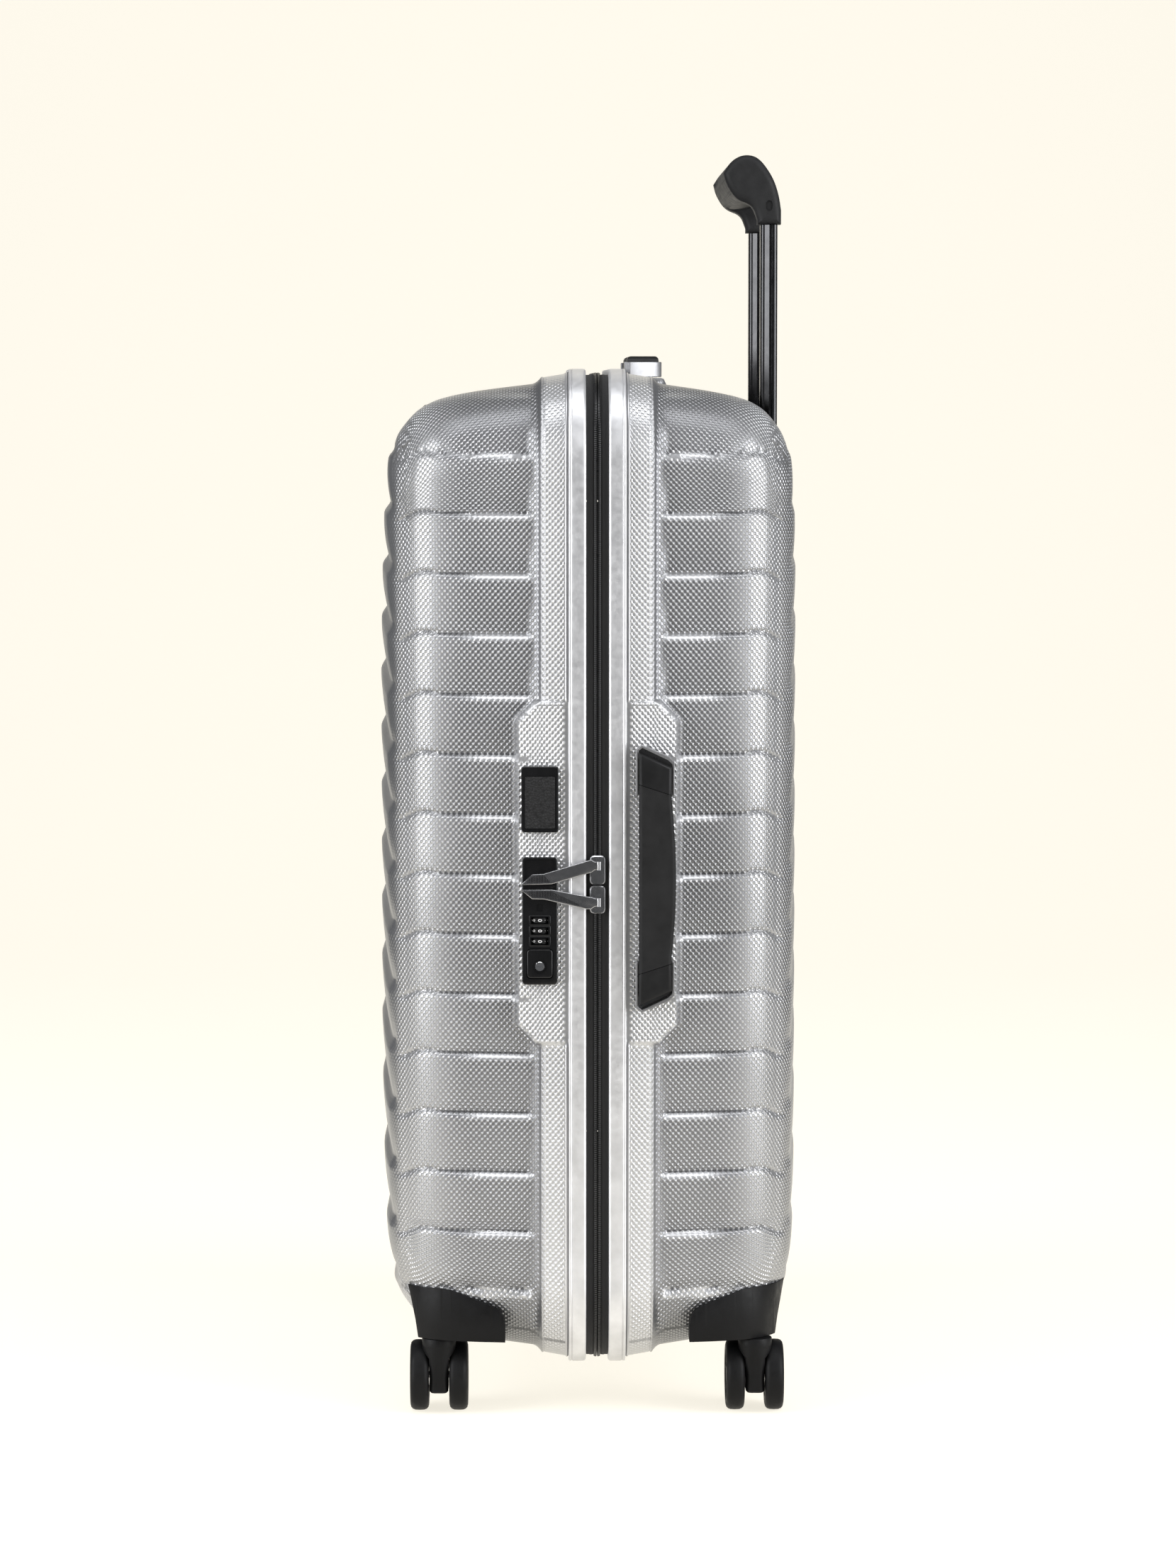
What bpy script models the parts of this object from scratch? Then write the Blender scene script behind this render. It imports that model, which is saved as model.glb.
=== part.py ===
"""A hard-shell suitcase on four twin-wheel casters.

Frame: X is the depth, with the front shell at -X and the back shell, which holds the trolley handle, at +X.
Y is the width, with the lock and the side handle at -Y and the hinge web at +Y. Z is up from the floor.
"""

import math

import bmesh
import bpy

# Case outline, in the plane of the seam
HALF_W = 0.2475
RIM_TOP = 0.7515
RIM_BOTTOM = 0.0340
CORNER_R = 0.062
HALF_H = (RIM_TOP - RIM_BOTTOM) / 2
MID_Z = (RIM_TOP + RIM_BOTTOM) / 2

# Depth of each half from the seam, and the overall place of the seam
FRONT_DEPTH = 0.160
BACK_DEPTH = 0.150
HANDLE_RISE = 0.0125
SEAM_X = (FRONT_DEPTH - BACK_DEPTH) / 2
MID_Y = HANDLE_RISE / 2
WALL = 0.0025
GAP = 0.0003

# Seam: the rim strips stand either side of the zip
RIM_INNER_D = 0.0080
RIM_OUTER_D = 0.0205
RIM_THICK = 0.0022
SHELL_MOUTH_D = 0.0105
TAPE_INSET = 0.0042
TAPE_THICK = 0.0012
WEB_LOW_Z = 0.1365
WEB_HIGH_Z = 0.6465

# Side wall and rounded shoulder: (distance from the seam, inset from the rim's face)
BAND = [(SHELL_MOUTH_D, 0.0025), (0.0205, 0.0028), (0.0400, 0.0060), (0.0460, 0.0105)]
SHOULDER = [
    (0.55, 0.0160), (0.70, 0.0212), (0.79, 0.0280), (0.88, 0.0430), (0.915, 0.0530),
    (0.94, 0.0640), (0.955, 0.0850), (0.972, 0.1250), (0.99, 0.1800), (1.0, 0.2250),
]

# Flat seats on the near side and on the top
PAD_INSET = 0.0030
PAD_LOW_Z = 0.2855
PAD_HIGH_Z = 0.5035
PAD_D = (RIM_OUTER_D + GAP, 0.0570)
PAD_CHAMFER = 0.0130
SEAT_INSET = 0.0060
SEAT_D = (RIM_OUTER_D + GAP, 0.0500)
SEAT_HALF_Y = 0.1000

# Casters
CASTER_D = 0.1140
CASTER_Y = 0.2100
CASTER_TRAIL = 0.0120
WHEEL_R = 0.0255
WHEEL_W = 0.0136
WHEEL_INNER_X = 0.0073
WHEEL_BORE_R = 0.0028
AXLE_R = 0.0025
MOUNT_Z = 0.0556
WELL_R = 0.0420
STEM_R = 0.0040
STEM_TOP = 0.0596
COLLAR_R = 0.0122
COLLAR_Z = (0.0486, 0.0553)

# Carry handles
GRIP_LIFT = 0.0060
GRIP_THICK = HANDLE_RISE + PAD_INSET - GRIP_LIFT
SIDE_HANDLE_D = (0.0270, 0.0545)
SIDE_HANDLE_Z = 0.3915
HANDLE_HALF = 0.0950
BRACKET_LENGTH = 0.0360
TOP_HANDLE_D = (0.0212, 0.0487)

# Trolley handle
TUBE_Y = 0.1050
TUBE_D = 0.1263
INNER_TUBE = (0.0123, 0.0200)
OUTER_TUBE = (0.0156, 0.0234)
OUTER_TUBE_WALL = 0.0013
INNER_TUBE_LOW = 0.3140
GRIP_BASE_Z = 0.8565
CUP_FLOOR_Z = 0.6865
CUP_D = 0.0880
CUP_HALF_Y = 0.1205
CUP_WALL = 0.0020
FOOT_Z = (0.1165, 0.1345)
LEG_HALF_Y = 0.0125

# Lock and badge, on the near side of the front shell
LOCK_D = 0.0410
LOCK_Z = (0.3155, 0.4065)
LOCK_HALF_W = 0.0125
LOCK_FACE_INSET = -0.0005
DIAL_R = 0.0080
DIAL_LENGTH = 0.0046
DIAL_ZS = (0.3615, 0.3540, 0.3465)
BUTTON_HALF = (0.0092, 0.0105)
BUTTON_Z = 0.3305
CYLINDER_R = 0.0035
BADGE_D = 0.0408
BADGE_Z = (0.4240, 0.4710)
BADGE_HALF_W = 0.0132

# Zip sliders and pull tabs
SLIDER_HALF_W = 0.0055
PIVOT_X = 0.0010
PIVOT_INSET = -0.0022
PULLER_INSET = (-0.0034, -0.0011)
UPPER_PIVOT_Z = 0.4005
LOWER_PIVOT_Z = 0.3745
UPPER_TAB = [
    (-0.0010, 0.0029), (-0.0010, -0.0029), (-0.0030, -0.0029), (-0.0050, -0.0045), (-0.0335, -0.0130),
    (-0.0555, -0.0135), (-0.0475, -0.0060), (-0.0390, -0.0056), (-0.0055, 0.0045), (-0.0030, 0.0029),
]
LOWER_TAB = [
    (-0.0010, 0.0029), (-0.0010, -0.0029), (-0.0030, -0.0029), (-0.0055, -0.0048), (-0.0090, -0.0048),
    (-0.0390, 0.0022), (-0.0475, 0.0024), (-0.0555, 0.0090), (-0.0335, 0.0092), (-0.0050, 0.0036),
    (-0.0030, 0.0029),
]

FRONT = -1
BACK = 1

COLOURS = {
    "shell_silver": ((0.53, 0.53, 0.54), 0.35, 0.6),
    "rim_silver": ((0.47, 0.47, 0.48), 0.45, 0.3),
    "zip_black": ((0.02, 0.02, 0.02), 0.8, 0.0),
    "black_plastic": ((0.02, 0.02, 0.022), 0.4, 0.0),
    "gloss_black": ((0.012, 0.012, 0.013), 0.12, 0.0),
    "grip_black": ((0.03, 0.03, 0.032), 0.6, 0.0),
    "dark_chrome": ((0.22, 0.22, 0.23), 0.2, 1.0),
    "chrome": ((0.75, 0.75, 0.76), 0.1, 1.0),
    "wheel_tread": ((0.03, 0.03, 0.032), 0.55, 0.0),
    "steel": ((0.55, 0.55, 0.56), 0.3, 1.0),
    "lining_grey": ((0.09, 0.09, 0.10), 0.85, 0.0),
    "mesh_black": ((0.02, 0.02, 0.02), 0.9, 0.0),
    "strap_black": ((0.015, 0.015, 0.015), 0.85, 0.0),
}


def seam_x(distance, side):
    """World X of a point this far from the seam, in the front or back half."""
    return SEAM_X + side * distance


def near_y(inset):
    """World Y of the near side at this inset from the rim's face."""
    return MID_Y - HALF_W + inset


def material(slot):
    """The Principled material of a slot, made once."""
    if slot in bpy.data.materials:
        return bpy.data.materials[slot]
    made = bpy.data.materials.new(slot)
    made.use_nodes = True
    shader = made.node_tree.nodes["Principled BSDF"]
    colour, roughness, metallic = COLOURS[slot]
    shader.inputs["Base Color"].default_value = (*colour, 1.0)
    shader.inputs["Roughness"].default_value = roughness
    shader.inputs["Metallic"].default_value = metallic
    return made


def new_mesh(vertices, faces):
    """A mesh with its faces turned outwards."""
    mesh = bpy.data.meshes.new("shape")
    mesh.from_pydata(vertices, [], faces)
    work = bmesh.new()
    work.from_mesh(mesh)
    bmesh.ops.recalc_face_normals(work, faces=work.faces)
    work.to_mesh(mesh)
    work.free()
    return mesh


def add_object(name, mesh, slot, smooth_degrees=35):
    """A named sub-part with its material, shaded smooth below the given angle."""
    mesh.name = name
    mesh.materials.clear()
    mesh.materials.append(material(slot))
    mesh.shade_smooth()
    mesh.set_sharp_from_angle(angle=math.radians(smooth_degrees))
    made = bpy.data.objects.new(name, mesh)
    bpy.context.scene.collection.objects.link(made)
    return made


def combine(base, other, operation):
    """The mesh of a Boolean between two closed meshes."""
    first = bpy.data.objects.new("first", base)
    second = bpy.data.objects.new("second", other)
    for item in (first, second):
        bpy.context.scene.collection.objects.link(item)
    modifier = first.modifiers.new("cut", "BOOLEAN")
    modifier.operation = operation
    modifier.object = second
    modifier.solver = "EXACT"
    bpy.context.view_layer.update()
    evaluated = first.evaluated_get(bpy.context.evaluated_depsgraph_get())
    result = bpy.data.meshes.new_from_object(evaluated)
    for item in (first, second):
        bpy.data.objects.remove(item)
    return result


def without(base, *cutters):
    """The base with each cutter's space taken away."""
    for cutter in cutters:
        base = combine(base, cutter, "DIFFERENCE")
    return base


def union(base, *others):
    """The base joined with the others as one solid."""
    for other in others:
        base = combine(base, other, "UNION")
    return base


def overlap(base, other):
    """The space that two solids share."""
    return combine(base, other, "INTERSECT")


def offset_polygon(points, distance):
    """A closed counter-clockwise polygon with each edge moved outwards by the distance."""
    moved = []
    for i, (u, v) in enumerate(points):
        before = points[i - 1]
        after = points[(i + 1) % len(points)]
        first = unit(u - before[0], v - before[1])
        second = unit(after[0] - u, after[1] - v)
        normal = unit(first[1] + second[1], -first[0] - second[0])
        spread = max(normal[0] * first[1] - normal[1] * first[0], 0.4)
        moved.append((u + normal[0] * distance / spread, v + normal[1] * distance / spread))
    return moved


def unit(u, v):
    """A 2-D direction of length one."""
    length = math.hypot(u, v) or 1.0
    return (u / length, v / length)


def counter_clockwise(points):
    """The points in counter-clockwise order."""
    area = sum(a[0] * b[1] - b[0] * a[1] for a, b in zip(points, points[1:] + points[:1]))
    return points if area > 0 else points[::-1]


def place(axis, u, v, along):
    """A 3-D point from two coordinates across an axis and one along it."""
    return {"X": (along, u, v), "Y": (u, along, v), "Z": (u, v, along)}[axis]


def stack(loops, axis):
    """A solid through loops of equal length, given as (points, place along the axis)."""
    count = len(loops[0][0])
    vertices = [place(axis, u, v, along) for points, along in loops for u, v in points]
    faces = []
    for k in range(len(loops) - 1):
        for i in range(count):
            j = (i + 1) % count
            faces.append((k * count + i, k * count + j, (k + 1) * count + j, (k + 1) * count + i))
    faces.append(tuple(range(count))[::-1])
    faces.append(tuple(range((len(loops) - 1) * count, len(loops) * count)))
    return new_mesh(vertices, faces)


def prism(points, axis, low, high, chamfer=0.0):
    """A polygon extruded along an axis, with its end edges chamfered if asked."""
    points = counter_clockwise(points)
    if chamfer == 0.0:
        return stack([(points, low), (points, high)], axis)
    small = offset_polygon(points, -chamfer)
    loops = [(small, low), (points, low + chamfer), (points, high - chamfer), (small, high)]
    return stack(loops, axis)


def box(low, high):
    """A box between two corners."""
    corners = [(low[0], low[1]), (high[0], low[1]), (high[0], high[1]), (low[0], high[1])]
    return prism(corners, "Z", low[2], high[2])


def circle(centre, radius, segments):
    """Points round a circle."""
    return [
        (
            centre[0] + radius * math.cos(2 * math.pi * i / segments),
            centre[1] + radius * math.sin(2 * math.pi * i / segments),
        )
        for i in range(segments)
    ]


def rounded_rectangle(half_u, half_v, radius, steps, centre=(0.0, 0.0)):
    """Points round a rectangle with arcs at its corners."""
    points = []
    for quarter, (su, sv) in enumerate(((1, 1), (-1, 1), (-1, -1), (1, -1))):
        for step in range(steps + 1):
            angle = math.pi / 2 * (quarter + step / steps)
            points.append(
                (
                    centre[0] + su * (half_u - radius) + radius * math.cos(angle),
                    centre[1] + sv * (half_v - radius) + radius * math.sin(angle),
                )
            )
    return points


def turned(profile, axis, centre, segments):
    """A solid turned about an axis. The profile is (radius, place along the axis), both ends off the axis."""
    loops = [(circle(centre, radius, segments), along) for radius, along in profile]
    return stack(loops, axis)


def outline(inset, steps=6):
    """The case's outline in the seam plane, moved in by the inset."""
    radius = max(CORNER_R - 0.35 * inset, 0.020)
    return rounded_rectangle(HALF_W - inset, HALF_H - inset, radius, steps, (MID_Y, MID_Z))


def profile(depth, wall=0.0):
    """The shell's section from its mouth to the middle of its face, moved in by the wall."""
    points = BAND + [(part * depth, inset) for part, inset in SHOULDER]
    moved = []
    for i, (distance, inset) in enumerate(points):
        before = points[max(i - 1, 0)]
        after = points[min(i + 1, len(points) - 1)]
        along = unit(after[0] - before[0], after[1] - before[1])
        if i == 0:
            along = (1.0, 0.0)
        moved.append((distance - along[1] * wall, inset + along[0] * wall))
    return moved


def tub_solid(depth, side, grow=0.0, mouth_d=SHELL_MOUTH_D):
    """The whole space inside a shell's outer surface, grown by the given distance."""
    rings = [(d, inset) for d, inset in profile(depth, -grow) if d > mouth_d]
    rings.insert(0, (mouth_d, rings[0][1]))
    return stack([(outline(inset), seam_x(d, side)) for d, inset in rings], "X")


def tub(outer, inner, side, steps=6):
    """A thin tub: its outer surface, its inner surface and the mouth between them."""
    loops = [(outline(inset, steps), seam_x(d, side)) for d, inset in outer[::-1] + inner]
    return stack(loops, "X")


def near_slab(d_low, d_high, z_low, z_high, inset_low, inset_high, side, chamfer):
    """A slab on the near side whose corners away from the seam are cut at 45 degrees."""
    points = [
        (seam_x(d_low, side), z_low - chamfer),
        (seam_x(d_high - chamfer, side), z_low - chamfer),
        (seam_x(d_high, side), z_low),
        (seam_x(d_high, side), z_high),
        (seam_x(d_high - chamfer, side), z_high + chamfer),
        (seam_x(d_low, side), z_high + chamfer),
    ]
    return prism(points, "Y", near_y(inset_low), near_y(inset_high))


def caster_axes(side):
    """The (name, x, y) of each caster's swivel axis in one half."""
    x = seam_x(CASTER_D, side)
    return [("near", x, MID_Y - CASTER_Y), ("far", x, MID_Y + CASTER_Y)]


def cut_wheel_wells(shell, depth, side):
    """Round pockets in the shell's bottom that the wheels swivel under."""
    space = tub_solid(depth, side, -WALL / 4)
    for _, x, y in caster_axes(side):
        roof = turned([(WELL_R + WALL, 0.0), (WELL_R + WALL, MOUNT_Z + WALL)], "Z", (x, y), 24)
        hollow = turned([(WELL_R, -0.01), (WELL_R, MOUNT_Z)], "Z", (x, y), 24)
        shell = union(shell, overlap(space.copy(), roof))
        shell = without(shell, hollow)
    return shell


def shell_wall(depth, side):
    """One half's moulded shell with the flat pad of its near side and its wheel wells."""
    shell = tub(profile(depth), profile(depth, WALL), side)
    shell = union(shell, near_slab(*PAD_D, PAD_LOW_Z, PAD_HIGH_Z, PAD_INSET, 0.0125, side, PAD_CHAMFER))
    return cut_wheel_wells(shell, depth, side)


def front_shell():
    """The front shell, open where the lock's housing passes through."""
    x = seam_x(LOCK_D, FRONT)
    housing = box(
        (x - 0.0108, near_y(-0.01), LOCK_Z[0] + 0.0021), (x + 0.0108, near_y(0.03), LOCK_Z[1] - 0.0147)
    )
    add_object("front_shell", without(shell_wall(FRONT_DEPTH, FRONT), housing), "shell_silver")


def back_shell():
    """The back shell, with a level seat for the top handle and an opening for the trolley cup."""
    shell = shell_wall(BACK_DEPTH, BACK)
    top = RIM_TOP - SEAT_INSET
    x_low, x_high = seam_x(SEAT_D[0], BACK), seam_x(SEAT_D[1], BACK)
    far_y = MID_Y + SEAT_HALF_Y
    low_y = MID_Y - SEAT_HALF_Y
    shell = union(shell, box((x_low, low_y, top - 0.0070), (x_high, far_y, top + 0.0010)))
    shell = without(shell, box((x_low - GAP, low_y, top), (x_high, far_y, RIM_TOP + 0.02)))
    opening = box(
        (seam_x(CUP_D, BACK) - GAP, MID_Y - CUP_HALF_Y - GAP, CUP_FLOOR_Z - GAP),
        (seam_x(0.25, BACK), MID_Y + CUP_HALF_Y + GAP, RIM_TOP + 0.02),
    )
    add_object("back_shell", without(shell, opening), "shell_silver")


def rim(name, side):
    """A rim strip: a rounded face over the shell's edge, with a leg turned into the seam."""
    section = [
        (RIM_INNER_D, 0.0090), (RIM_INNER_D, 0.0012), (RIM_INNER_D + 0.0012, 0.0), (RIM_OUTER_D - 0.0012, 0.0),
        (RIM_OUTER_D, 0.0010), (RIM_OUTER_D, RIM_THICK), (SHELL_MOUTH_D - GAP, RIM_THICK),
        (SHELL_MOUTH_D - GAP, 0.0090),
    ]
    add_object(name, ring(section, side), "rim_silver")


def ring(section, side):
    """A closed ring swept round the outline with the given (distance, inset) section."""
    loops = [outline(inset) for _, inset in section]
    count = len(loops[0])
    vertices = [
        (seam_x(section[k][0], side), y, z) for k, loop in enumerate(loops) for y, z in loop
    ]
    faces = []
    for k in range(len(section)):
        m = (k + 1) % len(section)
        for i in range(count):
            j = (i + 1) % count
            faces.append((k * count + i, k * count + j, m * count + j, m * count + i))
    return new_mesh(vertices, faces)


def zip_tape(name, side):
    """A woven tape round the seam with its coil bead, open where the hinge web takes over."""
    section = [
        (GAP / 2, TAPE_INSET), (GAP / 2, TAPE_INSET - 0.0014), (0.0026, TAPE_INSET - 0.0014),
        (0.0030, TAPE_INSET), (RIM_INNER_D - GAP, TAPE_INSET), (RIM_INNER_D - GAP, TAPE_INSET + TAPE_THICK),
        (GAP / 2, TAPE_INSET + TAPE_THICK),
    ]
    x_ends = sorted((seam_x(-0.01, side), seam_x(0.02, side)))
    opening = box(
        (x_ends[0], MID_Y + HALF_W - 0.02, WEB_LOW_Z), (x_ends[1], MID_Y + HALF_W + 0.02, WEB_HIGH_Z)
    )
    add_object(name, without(ring(section, side), opening), "zip_black")


def hinge_web():
    """The strip of heavy fabric that joins the halves on the far side, shown on the back half."""
    low = (seam_x(GAP, BACK), MID_Y + HALF_W - TAPE_INSET - TAPE_THICK, WEB_LOW_Z + GAP)
    high = (seam_x(RIM_INNER_D - GAP, BACK), MID_Y + HALF_W - TAPE_INSET, WEB_HIGH_Z - GAP)
    add_object("hinge_web", box(low, high), "zip_black")


def lining(name, depth, floor_d, side):
    """A fabric tub inside the shell's wall, with its floor at the given distance from the seam."""
    inset = 0.0185
    outer = [(0.0140, inset), (0.0780, inset + 0.0020)]
    for part, outer_inset in SHOULDER[:4]:
        distance = part * depth - 0.0030
        if 0.0850 < distance < floor_d - 0.0100:
            outer.append((distance, outer_inset + 0.0075))
    outer.append((floor_d, outer[-1][1] + 0.0220))
    thick = 0.0012
    inner = [(d, e + thick) for d, e in outer[:-1]] + [(floor_d - thick, outer[-1][1] + thick)]
    cloth = tub(outer, inner, side, steps=4)
    for _, x, y in caster_axes(side):
        cloth = without(cloth, turned([(WELL_R + 0.0035, 0.0), (WELL_R + 0.0035, MOUNT_Z + 0.0035)], "Z", (x, y), 24))
    if side == BACK:
        cloth = without(
            cloth,
            box(
                (seam_x(CUP_D - 0.0010, BACK), MID_Y - CUP_HALF_Y - 0.001, CUP_FLOOR_Z - 0.001),
                (seam_x(0.25, BACK), MID_Y + CUP_HALF_Y + 0.001, RIM_TOP + 0.02),
            ),
        )
    add_object(name, cloth, "lining_grey")


def front_pocket(floor_d):
    """A flat zipped pocket panel that lies on the front lining's floor."""
    points = rounded_rectangle(0.170, 0.265, 0.030, 4, (MID_Y, MID_Z))
    near = seam_x(floor_d - 0.0012 - GAP, FRONT)
    add_object("front_pocket", prism(points, "X", near, near + 0.0012), "mesh_black")


def straps(floor_d):
    """Two packing straps on the back lining's floor and the buckle between them."""
    x_floor = seam_x(floor_d - 0.0012 - GAP, BACK)
    z = SIDE_HANDLE_Z
    half_width = 0.0125
    buckle_half = 0.0260
    for name, direction in (("strap_near", -1), ("strap_far", 1)):
        ys = sorted((MID_Y + direction * (buckle_half + GAP), MID_Y + direction * 0.178))
        band = box((x_floor - 0.0016, ys[0], z - half_width), (x_floor, ys[1], z + half_width))
        add_object(name, band, "strap_black")
    points = rounded_rectangle(buckle_half, 0.0190, 0.0060, 3, (MID_Y, z))
    add_object("strap_buckle", prism(points, "X", x_floor - 0.0090, x_floor, 0.0020), "black_plastic")


def cap_outline(side):
    """A corner cap's outline seen from the near side, as (x, z)."""
    points = [
        (0.0660, MOUNT_Z), (0.0660, 0.0695), (0.0720, 0.0805), (0.1040, 0.0925), (0.1120, 0.0935),
        (0.1365, 0.0925), (0.1345, 0.0845), (0.1310, 0.0685), (0.1290, MOUNT_Z),
    ]
    return [(seam_x(d, side), z) for d, z in points]


def corner_cap(name, depth, side, x, y, direction):
    """A moulded cap over a bottom corner, with a flat underside and a bore for the caster's stem."""
    side_face = MID_Y + direction * HALF_W
    inner_end = side_face - direction * 0.0850
    ys = sorted((side_face + direction * 0.01, inner_end))
    region = prism(cap_outline(side), "Y", *ys)
    skin = overlap(tub_solid(depth, side, 0.0016), region)
    plan_x = sorted((seam_x(0.0660, side), seam_x(0.1285, side)))
    plan_y = sorted((side_face - direction * 0.0140, inner_end))
    centre = ((plan_x[0] + plan_x[1]) / 2, (plan_y[0] + plan_y[1]) / 2)
    half = ((plan_x[1] - plan_x[0]) / 2, (plan_y[1] - plan_y[0]) / 2)
    pod = prism(rounded_rectangle(*half, 0.0200, 5, centre), "Z", MOUNT_Z, 0.0835)
    bore = turned([(STEM_R + GAP, MOUNT_Z - 0.01), (STEM_R + GAP, STEM_TOP + GAP)], "Z", (x, y), 16)
    cap = without(union(skin, pod), tub_solid(depth, side, GAP, 0.0), bore)
    add_object(name, cap, "black_plastic")


def fork(name, x, y):
    """A caster fork: stem, collar and a blade that tapers down between the wheels."""
    stem = turned([(STEM_R, 0.0540), (STEM_R, STEM_TOP)], "Z", (x, y), 16)
    collar = turned([(COLLAR_R, COLLAR_Z[0]), (COLLAR_R, COLLAR_Z[1])], "Z", (x, y), 24)
    top = circle((x, y), COLLAR_R, 24)
    axle_y = y + CASTER_TRAIL
    low = rounded_rectangle(0.0068, 0.0150, 0.0040, 5, (x, (y - 0.0110 + axle_y + 0.0080) / 2))
    blade = stack([(top, 0.0500), (low, 0.0300), (low, 0.0160)], "Z")
    body = union(collar, stem, blade)
    for direction in (-1, 1):
        ends = sorted((x + direction * (WHEEL_INNER_X - GAP), x + direction * 0.03))
        wheel_space = turned([(WHEEL_R + 0.0008, ends[0]), (WHEEL_R + 0.0008, ends[1])], "X", (axle_y, WHEEL_R), 32)
        body = without(body, wheel_space)
    bore = turned([(WHEEL_BORE_R, x - 0.02), (WHEEL_BORE_R, x + 0.02)], "X", (axle_y, WHEEL_R), 12)
    add_object(name, without(body, bore), "black_plastic")


def axle(name, x, y):
    """A steel axle through the fork and both wheels."""
    half = WHEEL_INNER_X + WHEEL_W - 0.0010
    pin = turned([(AXLE_R, x - half), (AXLE_R, x + half)], "X", (y + CASTER_TRAIL, WHEEL_R), 12)
    add_object(name, pin, "steel")


def wheel(name, x, y, direction):
    """A wheel with a rounded tread, a dished hub and a bore."""
    near, far = WHEEL_INNER_X, WHEEL_INNER_X + WHEEL_W
    section = [
        (WHEEL_BORE_R, near), (0.0160, near), (0.0225, near + 0.0002), (WHEEL_R - 0.0006, near + 0.0026),
        (WHEEL_R, near + WHEEL_W / 2), (WHEEL_R - 0.0006, far - 0.0026), (0.0225, far - 0.0002),
        (0.0160, far - 0.0014), (WHEEL_BORE_R, far - 0.0014),
    ]
    segments = 24
    axle_y = y + CASTER_TRAIL
    vertices = []
    for radius, along in section:
        vertices += [place("X", u, v, x + direction * along) for u, v in circle((axle_y, WHEEL_R), radius, segments)]
    faces = []
    for k in range(len(section)):
        m = (k + 1) % len(section)
        for i in range(segments):
            j = (i + 1) % segments
            faces.append((k * segments + i, k * segments + j, m * segments + j, m * segments + i))
    add_object(name, new_mesh(vertices, faces), "wheel_tread")


def casters(half_name, depth, side):
    """The two caps and casters of one half. Every wheel trails towards +Y at rest."""
    for (end, x, y), direction in zip(caster_axes(side), (-1, 1)):
        label = f"{half_name}_{end}"
        corner_cap(f"corner_cap_{label}", depth, side, x, y, direction)
        fork(f"caster_fork_{label}", x, y)
        axle(f"caster_axle_{label}", x, y)
        wheel(f"wheel_{label}_left", x, y, -1)
        wheel(f"wheel_{label}_right", x, y, 1)


def handle_bracket_mesh(axis, low_d, high_d, base, rise, centre, direction):
    """A bracket that frames one end of a grip, as (depth, length) outlines extruded away from the case.

    The axis is the way that the grip stands off: Y on the side, Z on the top.
    """
    end = centre + direction * HANDLE_HALF
    start = end - direction * BRACKET_LENGTH
    tip = end - direction * 0.0120
    outer = [(low_d, start), (high_d, start), (high_d, tip), (high_d - 0.0060, tip + direction * 0.0030),
             (low_d + 0.0030, end), (low_d, end - direction * 0.0030)]
    inset = 0.0016
    inner = [
        (low_d + inset, start - direction * 0.005), (high_d - inset, start - direction * 0.005),
        (high_d - inset, tip - direction * inset), (high_d - 0.0066, tip + direction * 0.0010),
        (low_d + 0.0036, end - direction * 0.0020), (low_d + inset, end - direction * 0.0038),
    ]
    floor = 0.0012
    sign = 1 if rise > base else -1
    outer = [(seam_x(d, BACK), v) for d, v in outer]
    inner = [(seam_x(d, BACK), v) for d, v in inner]
    block = prism(outer, axis, *sorted((base, rise)))
    pocket = prism(inner, axis, *sorted((base + sign * floor, rise + sign * 0.01)))
    return without(block, pocket)


def grip_mesh(axis, low_d, high_d, base, rise, centre, bulge):
    """A grip with a straight edge by the seam, a bulging outer edge and slanted ends."""
    clear = 0.0021
    half = HANDLE_HALF
    inner_d = low_d + clear
    outer_d = high_d - clear
    steps = 8
    outer_edge = []
    for step in range(steps + 1):
        t = -1 + 2 * step / steps
        reach = (half - 0.0400) * t
        outer_edge.append((outer_d + bulge * (1 - t * t), centre + reach))
    points = [(inner_d, centre - half + 0.0045), (low_d + 0.0045, centre - half + 0.0026)]
    points += [(outer_d - 0.0050, centre - half + 0.0136), (outer_d, centre - half + 0.0155)]
    points += outer_edge
    points += [(outer_d, centre + half - 0.0155), (outer_d - 0.0050, centre + half - 0.0136)]
    points += [(low_d + 0.0045, centre + half - 0.0026), (inner_d, centre + half - 0.0045)]
    points = [(seam_x(d, BACK), v) for d, v in points]
    return prism(points, axis, *sorted((base, rise)), 0.0024)


def side_handle():
    """The carry handle on the near side of the back shell, its length along Z."""
    base = near_y(PAD_INSET - GAP)
    low_d, high_d = SIDE_HANDLE_D
    for name, direction in (("side_handle_bracket_lower", -1), ("side_handle_bracket_upper", 1)):
        mesh = handle_bracket_mesh("Y", low_d, high_d, base, near_y(-0.0085), SIDE_HANDLE_Z, direction)
        add_object(name, mesh, "dark_chrome")
    grip_base = near_y(PAD_INSET - GRIP_LIFT)
    grip = grip_mesh("Y", low_d, high_d, grip_base, near_y(-HANDLE_RISE), SIDE_HANDLE_Z, 0.0030)
    add_object("side_handle_grip", grip, "grip_black")


def top_handle():
    """The carry handle on the top of the back shell, its length along Y."""
    base = RIM_TOP - SEAT_INSET + GAP
    low_d, high_d = TOP_HANDLE_D
    for name, direction in (("top_handle_bracket_near", -1), ("top_handle_bracket_far", 1)):
        mesh = handle_bracket_mesh("Z", low_d, high_d, base, base + 0.0110, MID_Y, direction)
        add_object(name, mesh, "dark_chrome")
    grip_base = base + GRIP_LIFT
    grip = grip_mesh("Z", low_d, high_d, grip_base, grip_base + GRIP_THICK - GAP, MID_Y, 0.0)
    add_object("top_handle_grip", grip, "grip_black")


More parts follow.
